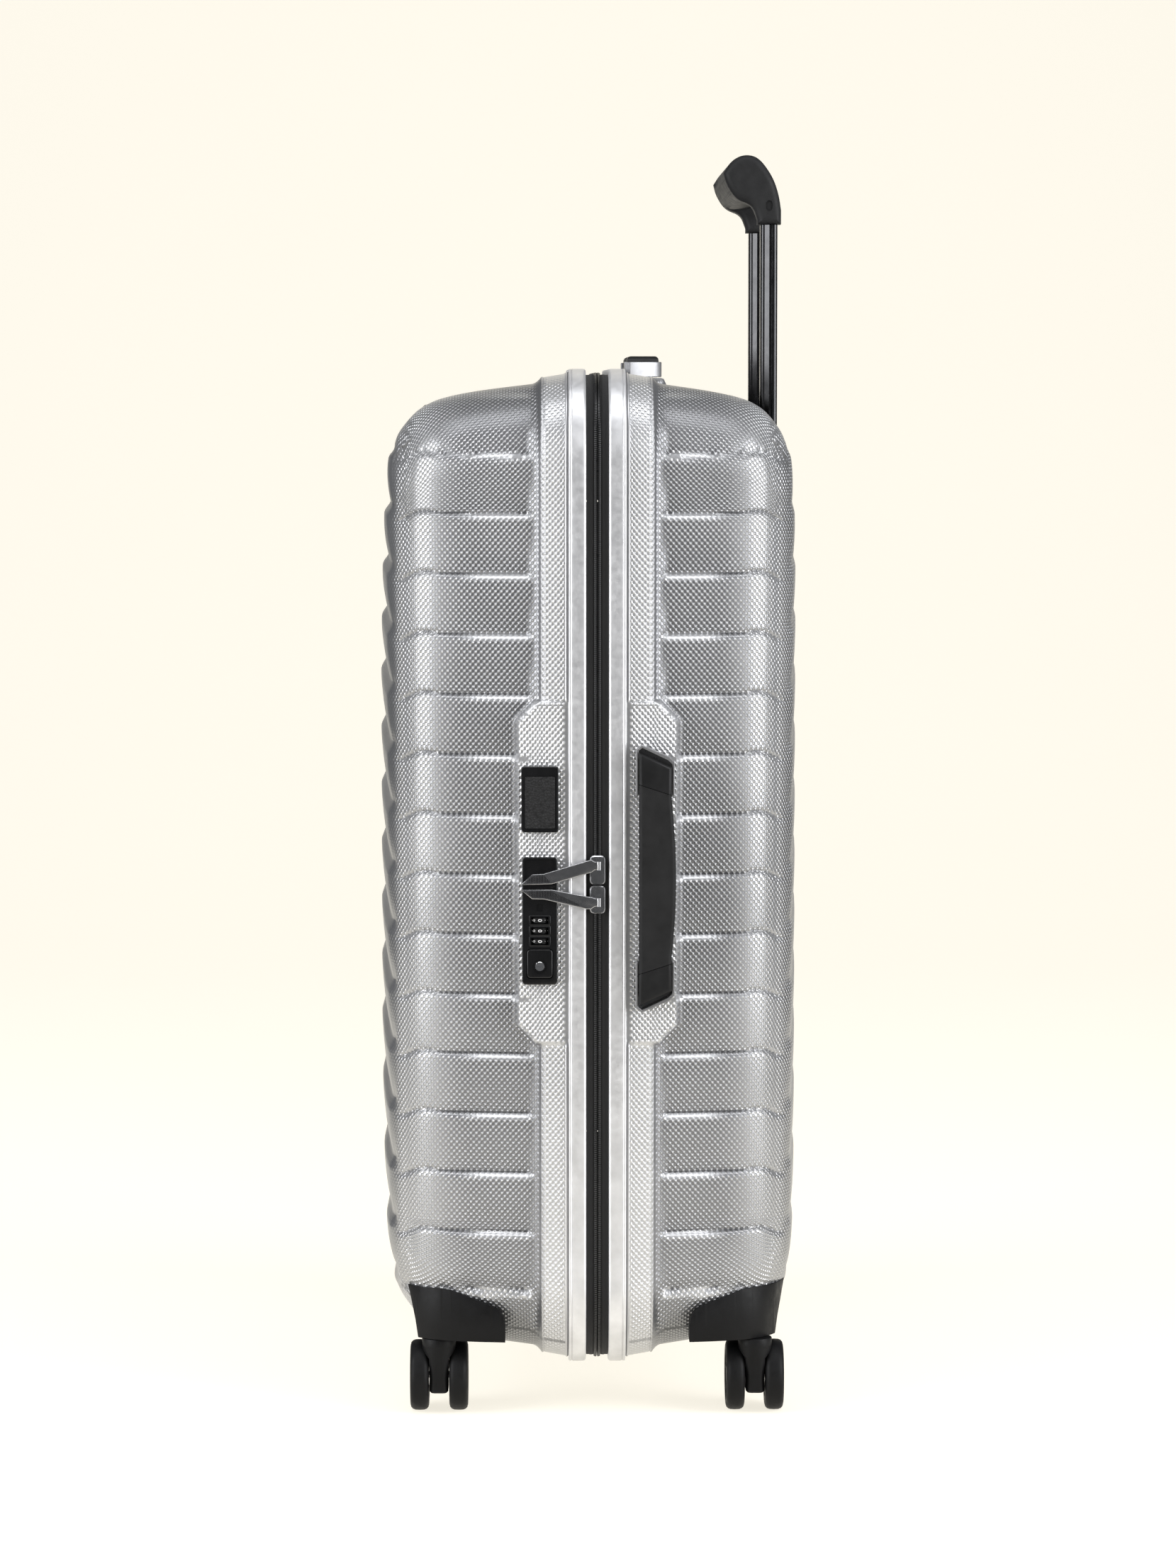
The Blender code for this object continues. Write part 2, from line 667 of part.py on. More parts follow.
def tube_points(size, centre):
    """A tube's section: a rectangle with small rounded corners."""
    return rounded_rectangle(size[0] / 2, size[1] / 2, 0.0030, 3, centre)


def trolley_tubes():
    """The fixed outer tubes, and the inner tubes that carry the grip."""
    x = seam_x(TUBE_D, BACK)
    for end, direction in (("near", -1), ("far", 1)):
        centre = (x, MID_Y + direction * TUBE_Y)
        outer = prism(tube_points(OUTER_TUBE, centre), "Z", FOOT_Z[1] + GAP, CUP_FLOOR_Z - GAP)
        hollow_size = (OUTER_TUBE[0] - 2 * OUTER_TUBE_WALL, OUTER_TUBE[1] - 2 * OUTER_TUBE_WALL)
        hollow = prism(tube_points(hollow_size, centre), "Z", 0.0, RIM_TOP)
        add_object(f"trolley_outer_tube_{end}", without(outer, hollow), "steel")
        inner = prism(tube_points(INNER_TUBE, centre), "Z", INNER_TUBE_LOW, GRIP_BASE_Z - GAP)
        add_object(f"trolley_inner_tube_{end}", inner, "gloss_black")


def trolley_foot():
    """The moulded foot under the outer tubes, with a peg that centres each tube."""
    x = seam_x(TUBE_D, BACK)
    half_y = TUBE_Y + 0.0180
    block = box((x - 0.0105, MID_Y - half_y, FOOT_Z[0]), (x + 0.0085, MID_Y + half_y, FOOT_Z[1]))
    for direction in (-1, 1):
        centre = (x, MID_Y + direction * TUBE_Y)
        peg = prism(tube_points((0.0110, 0.0180), centre), "Z", FOOT_Z[0] + 0.002, FOOT_Z[1] + 0.012)
        block = union(block, peg)
    add_object("trolley_foot", block, "black_plastic")


def trolley_cup():
    """The recess for the grip, flush with the shell's top, with a hole for each tube in its floor."""
    low = (seam_x(CUP_D, BACK), MID_Y - CUP_HALF_Y, CUP_FLOOR_Z)
    high = (seam_x(0.25, BACK), MID_Y + CUP_HALF_Y, RIM_TOP + 0.02)
    cup = overlap(tub_solid(BACK_DEPTH, BACK), box(low, high))
    hollow = box(
        (low[0] + CUP_WALL, low[1] + CUP_WALL, CUP_FLOOR_Z + CUP_WALL), (high[0], high[1] - CUP_WALL, high[2] + 0.01)
    )
    cup = without(cup, hollow)
    for direction in (-1, 1):
        centre = (seam_x(TUBE_D, BACK), MID_Y + direction * TUBE_Y)
        size = (INNER_TUBE[0] + 0.0010, INNER_TUBE[1] + 0.0010)
        cup = without(cup, prism(tube_points(size, centre), "Z", CUP_FLOOR_Z - 0.01, CUP_FLOOR_Z + 0.01))
    add_object("trolley_cup", cup, "black_plastic")


def trolley_grip():
    """The hooked grip: a hand bar with a leg down to each tube, and a pocket for its button."""
    bar = [(0.1185, 0.9055), (0.1075, 0.9073), (0.0985, 0.9025), (0.0930, 0.8937), (0.0950, 0.8855),
           (0.1020, 0.8745), (0.1140, 0.8745), (0.1260, 0.8765), (0.1290, 0.8911)]
    leg = [(0.1185, 0.9055), (0.1075, 0.9073), (0.0985, 0.9025), (0.0930, 0.8937), (0.0950, 0.8855),
           (0.1020, 0.8745), (0.1140, 0.8705), (0.1178, GRIP_BASE_Z), (0.1350, GRIP_BASE_Z),
           (0.1350, 0.8665), (0.1335, 0.8775), (0.1290, 0.8911)]
    half = TUBE_Y + LEG_HALF_Y
    grip = prism([(seam_x(d, BACK), z) for d, z in bar], "Y", MID_Y - half + 0.01, MID_Y + half - 0.01)
    for direction in (-1, 1):
        ys = sorted((MID_Y + direction * half, MID_Y + direction * (TUBE_Y - LEG_HALF_Y)))
        grip = union(grip, prism([(seam_x(d, BACK), z) for d, z in leg], "Y", *ys, 0.0015))
    pocket = box(
        (seam_x(0.1062, BACK), MID_Y - 0.0208, 0.8965), (seam_x(0.1158, BACK), MID_Y + 0.0208, 0.9165)
    )
    add_object("trolley_grip", without(grip, pocket), "gloss_black")


def trolley_button():
    """The release button in the top of the grip."""
    points = [(seam_x(d, BACK), y) for d, y in rounded_rectangle(0.0045, 0.0205, 0.0030, 3, (0.1110, MID_Y))]
    add_object("trolley_button", prism(points, "Z", 0.9010, 0.9069, 0.0008), "black_plastic")


def lock():
    """The lock body, its three dials, the push button and the key cylinder in the button."""
    x = seam_x(LOCK_D, FRONT)
    low_z, high_z = LOCK_Z
    face_y = near_y(LOCK_FACE_INSET)
    plate_back = near_y(PAD_INSET - GAP)
    half_height = (high_z - low_z) / 2
    plate_points = rounded_rectangle(LOCK_HALF_W, half_height, 0.0030, 4, (x, (low_z + high_z) / 2))
    plate = prism(plate_points, "Y", face_y, plate_back)
    housing = box((x - 0.0105, face_y + 0.001, low_z + 0.0025), (x + 0.0105, near_y(0.0170), high_z - 0.0150))
    body = union(plate, housing)
    dial_y = near_y(0.0002) + DIAL_R - 0.0010
    for index, dial_z in enumerate(DIAL_ZS):
        half = DIAL_LENGTH / 2
        well = turned([(DIAL_R + GAP, dial_z - half - 0.0002), (DIAL_R + GAP, dial_z + half + 0.0002)], "Z",
                      (x, dial_y), 24)
        window = box((x - 0.0061, face_y - 0.01, dial_z - half - 0.0002),
                     (x + 0.0061, near_y(0.0040), dial_z + half + 0.0002))
        body = without(body, union(well, window))
        dial = turned([(DIAL_R, dial_z - half), (DIAL_R, dial_z + half)], "Z", (x, dial_y), 20)
        add_object(f"lock_dial_{index + 1}", dial, "black_plastic", 25)
    half_w, half_h = BUTTON_HALF
    well_points = rounded_rectangle(half_w + GAP, half_h + GAP, 0.0020, 3, (x, BUTTON_Z))
    body = without(body, prism(well_points, "Y", face_y - 0.01, near_y(0.0120)))
    add_object("lock_body", body, "gloss_black")
    button_points = rounded_rectangle(half_w, half_h, 0.0018, 3, (x, BUTTON_Z))
    button = prism(button_points, "Y", face_y, near_y(0.0085), 0.0005)
    cylinder_z = BUTTON_Z - 0.0020
    bore_line = [(CYLINDER_R + GAP, face_y - 0.01), (CYLINDER_R + GAP, near_y(0.0070))]
    bore = turned(bore_line, "Y", (x, cylinder_z), 20)
    add_object("lock_button", without(button, bore), "black_plastic")
    plug = turned([(CYLINDER_R, face_y - 0.0001), (CYLINDER_R, near_y(0.0066))], "Y", (x, cylinder_z), 20)
    slot_low = (x - 0.0022, face_y - 0.01, cylinder_z - 0.0004)
    key_slot = box(slot_low, (x + 0.0022, face_y + 0.0030, cylinder_z + 0.0004))
    add_object("key_cylinder", without(plug, key_slot), "chrome")


def badge():
    """A blank badge plate with a raised inlay, beside the seam above the lock."""
    x = seam_x(BADGE_D, FRONT)
    middle = (BADGE_Z[0] + BADGE_Z[1]) / 2
    half_h = (BADGE_Z[1] - BADGE_Z[0]) / 2
    back = near_y(PAD_INSET - GAP)
    plate_points = rounded_rectangle(BADGE_HALF_W, half_h, 0.0020, 3, (x, middle))
    plate = prism(plate_points, "Y", near_y(0.0002), back, 0.0006)
    inlay_centre = (x, middle - 0.0022)
    recess = prism(rounded_rectangle(0.0110, half_h - 0.0048, 0.0012, 2, inlay_centre), "Y",
                   near_y(-0.01), near_y(0.0014))
    add_object("badge_plate", without(plate, recess), "gloss_black")
    points = rounded_rectangle(0.0107, half_h - 0.0051, 0.0010, 2, inlay_centre)
    add_object("badge_inlay", prism(points, "Y", near_y(0.0000), near_y(0.0014 - GAP)), "grip_black")


def front_trim_plate():
    """A blank plate wrapped over the front shell's top front edge."""
    skin = overlap(
        tub_solid(FRONT_DEPTH, FRONT, 0.0014),
        box((seam_x(0.1420, FRONT), MID_Y - 0.0330, 0.6965), (seam_x(0.1260, FRONT), MID_Y + 0.0330, RIM_TOP)),
    )
    add_object("front_trim_plate", without(skin, tub_solid(FRONT_DEPTH, FRONT, GAP, 0.0)), "gloss_black")


def zip_slider(name, pivot_z, low_z, high_z):
    """A zip slider with two ears that hold the pull tab's barrel."""
    x = SEAM_X
    middle = (low_z + high_z) / 2
    half = (high_z - low_z) / 2
    points = rounded_rectangle(SLIDER_HALF_W, half, 0.0030, 3, (x, middle))
    body = prism(points, "Y", near_y(-0.0003), near_y(TAPE_INSET - 0.0014 - GAP), 0.0008)
    for direction in (-1, 1):
        zs = sorted((pivot_z + direction * 0.0033, pivot_z + direction * 0.0052))
        ear = box((x + PIVOT_X - 0.0016, near_y(-0.0040), zs[0]), (x + PIVOT_X + 0.0016, near_y(0.0010), zs[1]))
        body = union(body, ear)
    add_object(name, body, "dark_chrome")


def puller(name, pivot_z, tab):
    """A bent pull tab from its barrel at the slider to its tip at the lock, as offsets from the pivot."""
    root_x = SEAM_X + PIVOT_X
    points = [(root_x + dx, pivot_z + dz) for dx, dz in tab]
    plate = prism(points, "Y", near_y(PULLER_INSET[0]), near_y(PULLER_INSET[1]), 0.0004)
    barrel_line = [(0.0014, pivot_z - 0.0030), (0.0014, pivot_z + 0.0030)]
    barrel = turned(barrel_line, "Z", (root_x, near_y(PIVOT_INSET)), 12)
    add_object(name, union(plate, barrel), "dark_chrome")


def zip_sliders():
    """The two sliders, which meet at the lock, and their pull tabs."""
    zip_slider("zip_slider_upper", UPPER_PIVOT_Z, 0.3868, 0.4075)
    zip_slider("zip_slider_lower", LOWER_PIVOT_Z, 0.3662, 0.3862)
    puller("zip_puller_upper", UPPER_PIVOT_Z, UPPER_TAB)
    puller("zip_puller_lower", LOWER_PIVOT_Z, LOWER_TAB)


def main():
    for item in list(bpy.data.objects):
        bpy.data.objects.remove(item, do_unlink=True)
    front_shell()
    back_shell()
    for half_name, side in (("front", FRONT), ("back", BACK)):
        rim(f"{half_name}_rim", side)
        zip_tape(f"{half_name}_zip_tape", side)
    hinge_web()
    front_floor = FRONT_DEPTH - 0.0180
    back_floor = 0.1080
    lining("front_lining", FRONT_DEPTH, front_floor, FRONT)
    lining("back_lining", BACK_DEPTH, back_floor, BACK)
    front_pocket(front_floor)
    straps(back_floor)
    casters("front", FRONT_DEPTH, FRONT)
    casters("back", BACK_DEPTH, BACK)
    side_handle()
    top_handle()
    trolley_cup()
    trolley_tubes()
    trolley_foot()
    trolley_grip()
    trolley_button()
    lock()
    badge()
    front_trim_plate()
    zip_sliders()


main()
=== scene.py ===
"""Looks of the hard-shell suitcase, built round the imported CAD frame.

Front is -X, back is +X, the lock and side handle face -Y, and Z is up. All lengths are in metres.
"""

import math

import bmesh
import bpy
import numpy as np
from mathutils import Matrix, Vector


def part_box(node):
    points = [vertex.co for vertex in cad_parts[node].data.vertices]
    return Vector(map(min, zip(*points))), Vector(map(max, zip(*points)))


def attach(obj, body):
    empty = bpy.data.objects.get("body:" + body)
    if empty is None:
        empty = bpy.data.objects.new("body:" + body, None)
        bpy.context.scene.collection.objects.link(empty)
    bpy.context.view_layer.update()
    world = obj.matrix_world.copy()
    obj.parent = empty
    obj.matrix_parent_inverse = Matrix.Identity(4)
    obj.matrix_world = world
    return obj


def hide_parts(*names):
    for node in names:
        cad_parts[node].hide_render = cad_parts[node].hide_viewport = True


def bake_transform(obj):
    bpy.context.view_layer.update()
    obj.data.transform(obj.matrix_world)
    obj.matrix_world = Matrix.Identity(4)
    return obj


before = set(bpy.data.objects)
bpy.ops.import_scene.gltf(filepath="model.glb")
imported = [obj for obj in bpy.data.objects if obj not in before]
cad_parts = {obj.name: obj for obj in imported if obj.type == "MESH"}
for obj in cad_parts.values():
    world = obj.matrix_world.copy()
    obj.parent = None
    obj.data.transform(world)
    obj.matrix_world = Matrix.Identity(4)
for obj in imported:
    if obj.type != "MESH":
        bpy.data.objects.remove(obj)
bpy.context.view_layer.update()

# Places that everything else is measured from, all read from the CAD frame
RIM_LOW, RIM_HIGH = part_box("back_rim")
FRONT_RIM_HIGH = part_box("front_rim")[1]
SEAM_X = (RIM_LOW.x + FRONT_RIM_HIGH.x) / 2
MID_Y = (RIM_LOW.y + RIM_HIGH.y) / 2
MID_Z = (RIM_LOW.z + RIM_HIGH.z) / 2
HALF_W = (RIM_HIGH.y - RIM_LOW.y) / 2
HALF_H = (RIM_HIGH.z - RIM_LOW.z) / 2
FRONT_DEPTH = SEAM_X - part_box("front_shell")[0].x
BACK_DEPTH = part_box("back_shell")[1].x - SEAM_X
FRONT, BACK = -1, 1
GAP = 0.0003

CORNER_R = 0.062
WALL = 0.0025
BAND = [(0.0105, 0.0025), (0.0205, 0.0028), (0.04, 0.006), (0.046, 0.0105)]
SHOULDER = [
    (0.55, 0.016), (0.7, 0.0212), (0.79, 0.028), (0.88, 0.043), (0.915, 0.053),
    (0.94, 0.064), (0.955, 0.085), (0.972, 0.125), (0.99, 0.18), (1.0, 0.225),
]
PAD_D = 0.057
PAD_Z = (MID_Z - 0.10725, MID_Z + 0.11075)
PAD_INSET = 0.003
PAD_CHAMFER = 0.013
SEAT_D = 0.05
SEAT_HALF_Y = 0.1
SEAT_INSET = 0.006

RIB_PITCH = 0.0428
RIB_START = MID_Z + 0.25675
RIB_LEDGE = 0.085
FACE_LEDGE = 0.24
SIDE_RELIEF = 0.0033
SHOULDER_RELIEF = 0.0013
FACE_RELIEF = {FRONT: 0.0042, BACK: 0.0016}
FACE_RISE = 0.0055

DOT_ACROSS = 0.0041
DOT_UP = 0.00453

HANDLE_HALF = 0.095
SIDE_HANDLE_D = (0.027, 0.0545)
TOP_HANDLE_D = (0.0212, 0.0487)
GRIP_BULGE = 0.003
HANDLE_TIP = 0.0155

PIVOT_X = 0.001
PIVOT_Y = -0.0022
TAB_BACK, TAB_FACE = -0.0011, -0.0034
UPPER_PIVOT_Z = 0.4005
LOWER_PIVOT_Z = 0.3745
UPPER_TAB = [
    (-0.001, 0.0029), (-0.001, -0.0029), (-0.003, -0.0029), (-0.005, -0.0045), (-0.0335, -0.013),
    (-0.0555, -0.0135), (-0.0475, -0.006), (-0.039, -0.0056), (-0.0055, 0.0045), (-0.003, 0.0029),
]
LOWER_TAB = [
    (-0.001, 0.0029), (-0.001, -0.0029), (-0.003, -0.0029), (-0.0055, -0.0048), (-0.009, -0.0048),
    (-0.039, 0.0022), (-0.0475, 0.0024), (-0.0555, 0.009), (-0.0335, 0.0092), (-0.005, 0.0036),
    (-0.003, 0.0029),
]

LINING_THICK = 0.0012
WEB_HALF = 0.0077

MOUNT_Z = 0.0556
STEM_R = 0.004
COLLAR_R = 0.0122
WELL_R = 0.042
CASTER_D = 0.114
CASTER_Y = 0.21


# ---------------------------------------------------------------- small geometry helpers


def seam_x(distance, side):
    """World X of a point this far from the seam."""
    return SEAM_X + side * distance


def near_y(inset):
    """World Y of the near side at this inset from the rim's face."""
    return MID_Y - HALF_W + inset


def smooth(x, low, high):
    """A smooth step from 0 at low to 1 at high."""
    t = np.clip((x - low) / (high - low), 0.0, 1.0)
    return t * t * (3 - 2 * t)


def object_from(name, vertices, faces, angle=35):
    """A named object with outward faces, shaded smooth below the angle."""
    mesh = bpy.data.meshes.new(name)
    mesh.from_pydata([tuple(map(float, v)) for v in vertices], [], faces)
    work = bmesh.new()
    work.from_mesh(mesh)
    bmesh.ops.recalc_face_normals(work, faces=work.faces)
    work.to_mesh(mesh)
    work.free()
    made = bpy.data.objects.new(name, mesh)
    bpy.context.scene.collection.objects.link(made)
    shade(made, angle)
    return made


def shade(made, angle=35):
    """Smooth shading with sharp edges above the angle."""
    made.data.shade_smooth()
    made.data.set_sharp_from_angle(angle=math.radians(angle))


def apply_modifiers(made):
    """Bakes an object's modifiers into its mesh."""
    bpy.context.view_layer.update()
    evaluated = made.evaluated_get(bpy.context.evaluated_depsgraph_get())
    mesh = bpy.data.meshes.new_from_object(evaluated)
    made.modifiers.clear()
    made.data = mesh
    return made


def boolean(base, other, operation):
    """Base combined with other, which is then removed."""
    modifier = base.modifiers.new("cut", "BOOLEAN")
    modifier.operation = operation
    modifier.object = other
    modifier.solver = "MANIFOLD"
    apply_modifiers(base)
    bpy.data.objects.remove(other)
    return base


def cut(base, other):
    """Takes a solid out of another."""
    return boolean(base, other, "DIFFERENCE")


def add(base, other):
    """Joins a solid onto another."""
    return boolean(base, other, "UNION")


def keep_inside(base, other):
    """Keeps what two solids share."""
    return boolean(base, other, "INTERSECT")


def bevelled(made, width, segments=3, angle=30):
    """Rounds an object's sharp edges."""
    modifier = made.modifiers.new("round", "BEVEL")
    modifier.width = width
    modifier.segments = segments
    modifier.limit_method = "ANGLE"
    modifier.angle_limit = math.radians(angle)
    modifier.harden_normals = True
    return made


def unit(u, v):
    """A 2-D direction of length one."""
    length = math.hypot(u, v) or 1.0
    return (u / length, v / length)


def grown(points, distance):
    """A closed polygon, counter-clockwise, with each edge moved outwards."""
    moved = []
    for i, (u, v) in enumerate(points):
        before = points[i - 1]
        after = points[(i + 1) % len(points)]
        first = unit(u - before[0], v - before[1])
        second = unit(after[0] - u, after[1] - v)
        normal = unit(first[1] + second[1], -first[0] - second[0])
        spread = max(normal[0] * first[1] - normal[1] * first[0], 0.4)
        moved.append((u + normal[0] * distance / spread, v + normal[1] * distance / spread))
    return moved


def counter_clockwise(points):
    """The points in counter-clockwise order."""
    area = sum(a[0] * b[1] - b[0] * a[1] for a, b in zip(points, points[1:] + points[:1]))
    return points if area > 0 else points[::-1]


def place(axis, u, v, along):
    """A 3-D point from two coordinates across an axis and one along it."""
    return {"X": (along, u, v), "Y": (u, along, v), "Z": (u, v, along)}[axis]


def stack(name, loops, axis, angle=35, closed=False):
    """A solid through loops of equal length, given as (points, place along the axis)."""
    count = len(loops[0][0])
    vertices = [place(axis, u, v, along) for points, along in loops for u, v in points]
    faces = []
    last = len(loops) if closed else len(loops) - 1
    for k in range(last):
        m = (k + 1) % len(loops)
        for i in range(count):
            j = (i + 1) % count
            faces.append((k * count + i, k * count + j, m * count + j, m * count + i))
    if not closed:
        faces.append(tuple(range(count))[::-1])
        faces.append(tuple(range((len(loops) - 1) * count, len(loops) * count)))
    return object_from(name, vertices, faces, angle)


def prism(name, points, axis, low, high, round_by=0.0, steps=3, angle=35):
    """A polygon extruded along an axis, with its end edges rounded if asked."""
    points = counter_clockwise(points)
    if round_by == 0.0:
        return stack(name, [(points, low), (points, high)], axis, angle)
    loops = []
    for k in range(steps + 1):
        turn = math.pi / 2 * k / steps
        loops.append((grown(points, -round_by * (1 - math.sin(turn))), low + round_by * (1 - math.cos(turn))))
    for k in range(steps, -1, -1):
        turn = math.pi / 2 * k / steps
        loops.append((grown(points, -round_by * (1 - math.sin(turn))),
                      high - round_by * (1 - math.cos(turn))))
    return stack(name, loops, axis, angle)


def box(name, low, high, round_by=0.0):
    """A box between two corners."""
    corners = [(low[0], low[1]), (high[0], low[1]), (high[0], high[1]), (low[0], high[1])]
    return prism(name, corners, "Z", low[2], high[2], round_by)


def circle(centre, radius, segments=48):
    """Points round a circle."""
    turns = [2 * math.pi * i / segments for i in range(segments)]
    return [(centre[0] + radius * math.cos(a), centre[1] + radius * math.sin(a)) for a in turns]


def rounded_rectangle(half_u, half_v, radius, steps=8, centre=(0.0, 0.0)):
    """Points round a rectangle with arcs at its corners."""
    points = []
    for quarter, (su, sv) in enumerate(((1, 1), (-1, 1), (-1, -1), (1, -1))):
        for step in range(steps + 1):
            a = math.pi / 2 * (quarter + step / steps)
            points.append((
                centre[0] + su * (half_u - radius) + radius * math.cos(a),
                centre[1] + sv * (half_v - radius) + radius * math.sin(a),
            ))
    return points


def smoothed(points, passes=2):
    """A closed polygon with its corners cut (Chaikin)."""
    for _ in range(passes):
        cut = []
        for i, a in enumerate(points):
            b = points[(i + 1) % len(points)]
            cut.append((0.75 * a[0] + 0.25 * b[0], 0.75 * a[1] + 0.25 * b[1]))
            cut.append((0.25 * a[0] + 0.75 * b[0], 0.25 * a[1] + 0.75 * b[1]))
        points = cut
    return points


def turned(name, profile, axis, centre, segments=48, angle=35, closed=False):
    """A solid turned about an axis, from (radius, place along the axis)."""
    loops = [(circle(centre, radius, segments), along) for radius, along in profile]
    return stack(name, loops, axis, angle, closed)


def rod(name, radius, low, high, axis, centre, segments=48):
    """A round bar along an axis."""
    return turned(name, [(radius, low), (radius, high)], axis, centre, segments)


def joined(name, parts):
    """Several meshes as one object."""
    work = bmesh.new()
    for part in parts:
        work.from_mesh(part.data)
    mesh = bpy.data.meshes.new(name)
    work.to_mesh(mesh)
    work.free()
    for part in parts:
        bpy.data.objects.remove(part)
    made = bpy.data.objects.new(name, mesh)
    bpy.context.scene.collection.objects.link(made)
    return made


# ---------------------------------------------------------------- materials


class Look:
    """A node material under construction."""

    def __init__(self, name, colour, roughness, metallic=0.0, **sockets):
        self.material = bpy.data.materials.new(name)
        self.material.use_nodes = True
        self.tree = self.material.node_tree
        self.shader = self.tree.nodes["Principled BSDF"]
        self.shader.inputs["Base Color"].default_value = (*colour, 1.0)
        self.shader.inputs["Roughness"].default_value = roughness
        self.shader.inputs["Metallic"].default_value = metallic
        for socket, value in sockets.items():
            self.shader.inputs[socket.replace("_", " ")].default_value = value

    def node(self, kind, **settings):
        made = self.tree.nodes.new(kind)
        for key, value in settings.items():
            setattr(made, key, value)
        return made

    def link(self, a, b):
        self.tree.links.new(a, b)

    def coords(self):
        return self.node("ShaderNodeTexCoord").outputs["Object"]

    def attribute(self, name):
        return self.node("ShaderNodeAttribute", attribute_name=name).outputs["Vector"]

    def maths(self, operation, a, b=None, clamp=False):
        made = self.node("ShaderNodeMath", operation=operation, use_clamp=clamp)
        for i, value in enumerate((a, b)):
            if value is None:
                continue
            if isinstance(value, (int, float)):
                made.inputs[i].default_value = value
            else:
                self.link(value, made.inputs[i])
        return made.outputs[0]

    def noise(self, scale, detail=3.0, vector=None, roughness=0.55):
        made = self.node("ShaderNodeTexNoise")
        made.inputs["Scale"].default_value = scale
        made.inputs["Detail"].default_value = detail
        made.inputs["Roughness"].default_value = roughness
        self.link(vector or self.coords(), made.inputs["Vector"])
        return made.outputs["Fac"]

    def cells(self, scale, vector=None):
        made = self.node("ShaderNodeTexVoronoi", feature="DISTANCE_TO_EDGE")
        made.inputs["Scale"].default_value = scale
        self.link(vector or self.coords(), made.inputs["Vector"])
        return made.outputs["Distance"]

    def span(self, value, low, high, to_low, to_high):
        made = self.node("ShaderNodeMapRange", clamp=True)
        for i, number in enumerate((low, high, to_low, to_high)):
            made.inputs[i + 1].default_value = number
        self.link(value, made.inputs[0])
        return made.outputs[0]

    def mix(self, factor, a, b):
        made = self.node("ShaderNodeMix", data_type="RGBA")
        self.link(factor, made.inputs["Factor"])
        for socket, value in zip((made.inputs[6], made.inputs[7]), (a, b)):
            if isinstance(value, tuple):
                socket.default_value = (*value, 1.0)
            else:
                self.link(value, socket)
        return made.outputs[2]

    def colour(self, factor, a, b):
        self.link(self.mix(factor, a, b), self.shader.inputs["Base Color"])

    def rough(self, factor, low, high):
        self.link(self.span(factor, 0.3, 0.7, low, high), self.shader.inputs["Roughness"])

    def bump(self, *layers):
        """Adds bumps, each given as (height, distance)."""
        normal = None
        for height, distance in layers:
            made = self.node("ShaderNodeBump")
            made.inputs["Strength"].default_value = 1.0
            made.inputs["Distance"].default_value = distance
            self.link(height, made.inputs["Height"])
            if normal is not None:
                self.link(normal, made.inputs["Normal"])
            normal = made.outputs["Normal"]
        self.link(normal, self.shader.inputs["Normal"])

    def wave(self, value, pitch, phase=0.0):
        """cos of a length over a pitch, from -1 to 1."""
        turn = self.maths("MULTIPLY", value, 2 * math.pi / pitch)
        return self.maths("COSINE", self.maths("ADD", turn, phase))

    def split(self, vector):
        made = self.node("ShaderNodeSeparateXYZ")
        self.link(vector, made.inputs[0])
        return made.outputs


def lattice(look, vector, across, up):
    """Height of staggered raised dots on a centred rectangular lattice, leaning one way."""
    u, v, _ = look.split(vector)
    dots = look.maths("MULTIPLY", look.wave(u, across), look.wave(v, up))
    slope = look.maths("ADD", look.maths("MULTIPLY", u, 1 / across), look.maths("MULTIPLY", v, 1 / up))
    lean = look.maths("MULTIPLY", look.wave(slope, 1.0), 0.16)
    return look.maths("ADD", dots, lean)


def shell_look(name):
    """Silver moulded shell film with its lattice of small raised dots; its colour carries painted highlights
    on the dots, ledges, band, pads and shoulders, and painted shade between the dots.
    """
    look = Look(name, (0.6, 0.6, 0.61), 0.3, 0.72, Specular_IOR_Level=0.5)
    wall = lattice(look, look.attribute("wall_grid"), DOT_ACROSS, DOT_UP)
    face = lattice(look, look.attribute("face_grid"), DOT_ACROSS, DOT_UP)
    blend_dots_painted_light = look.split(look.attribute("place"))
    height = look.node("ShaderNodeMix", data_type="FLOAT")
    look.link(blend_dots_painted_light[0], height.inputs[0])
    look.link(wall, height.inputs[2])
    look.link(face, height.inputs[3])
    raised = look.span(height.outputs[0], -0.15, 1.15, 0.0, 1.0)
    strength = look.maths("MULTIPLY", raised, blend_dots_painted_light[1])
    cloud = look.noise(9.0, 2.0)
    # Raised dots are coloured lighter and the hollows between them darker, as painted highlight and painted
    # shade; the cloud adds random tone.
    tone = look.maths("ADD", look.maths("MULTIPLY", strength, 0.45), look.maths("MULTIPLY", cloud, 0.2))
    # The third channel adds a painted highlight on the band by the rim, the pads, the rib ledges and the
    # outer shoulders.
    tone = look.maths("ADD", tone, look.maths("MULTIPLY", blend_dots_painted_light[2], 0.45))
    look.colour(look.span(tone, 0.1, 0.85, 0.0, 1.0), (0.19, 0.192, 0.199), (0.71, 0.712, 0.722))
    look.rough(cloud, 0.29, 0.33)
    look.bump((strength, 0.00085))
    return look.material


def satin_look(name, colour, roughness, metallic, fine=900.0):
    """Painted or anodised metal: satin, with faint clouding."""
    look = Look(name, colour, roughness, metallic)
    cloud = look.noise(60.0, 4.0)
    darker = tuple(c * 0.88 for c in colour)
    lighter = tuple(min(c * 1.08, 1.0) for c in colour)
    look.colour(look.span(cloud, 0.3, 0.7, 0.0, 1.0), darker, lighter)
    look.rough(look.noise(220.0, 3.0), roughness * 0.85, roughness * 1.2)
    look.bump((look.noise(fine, 2.0), 0.00002))
    return look.material


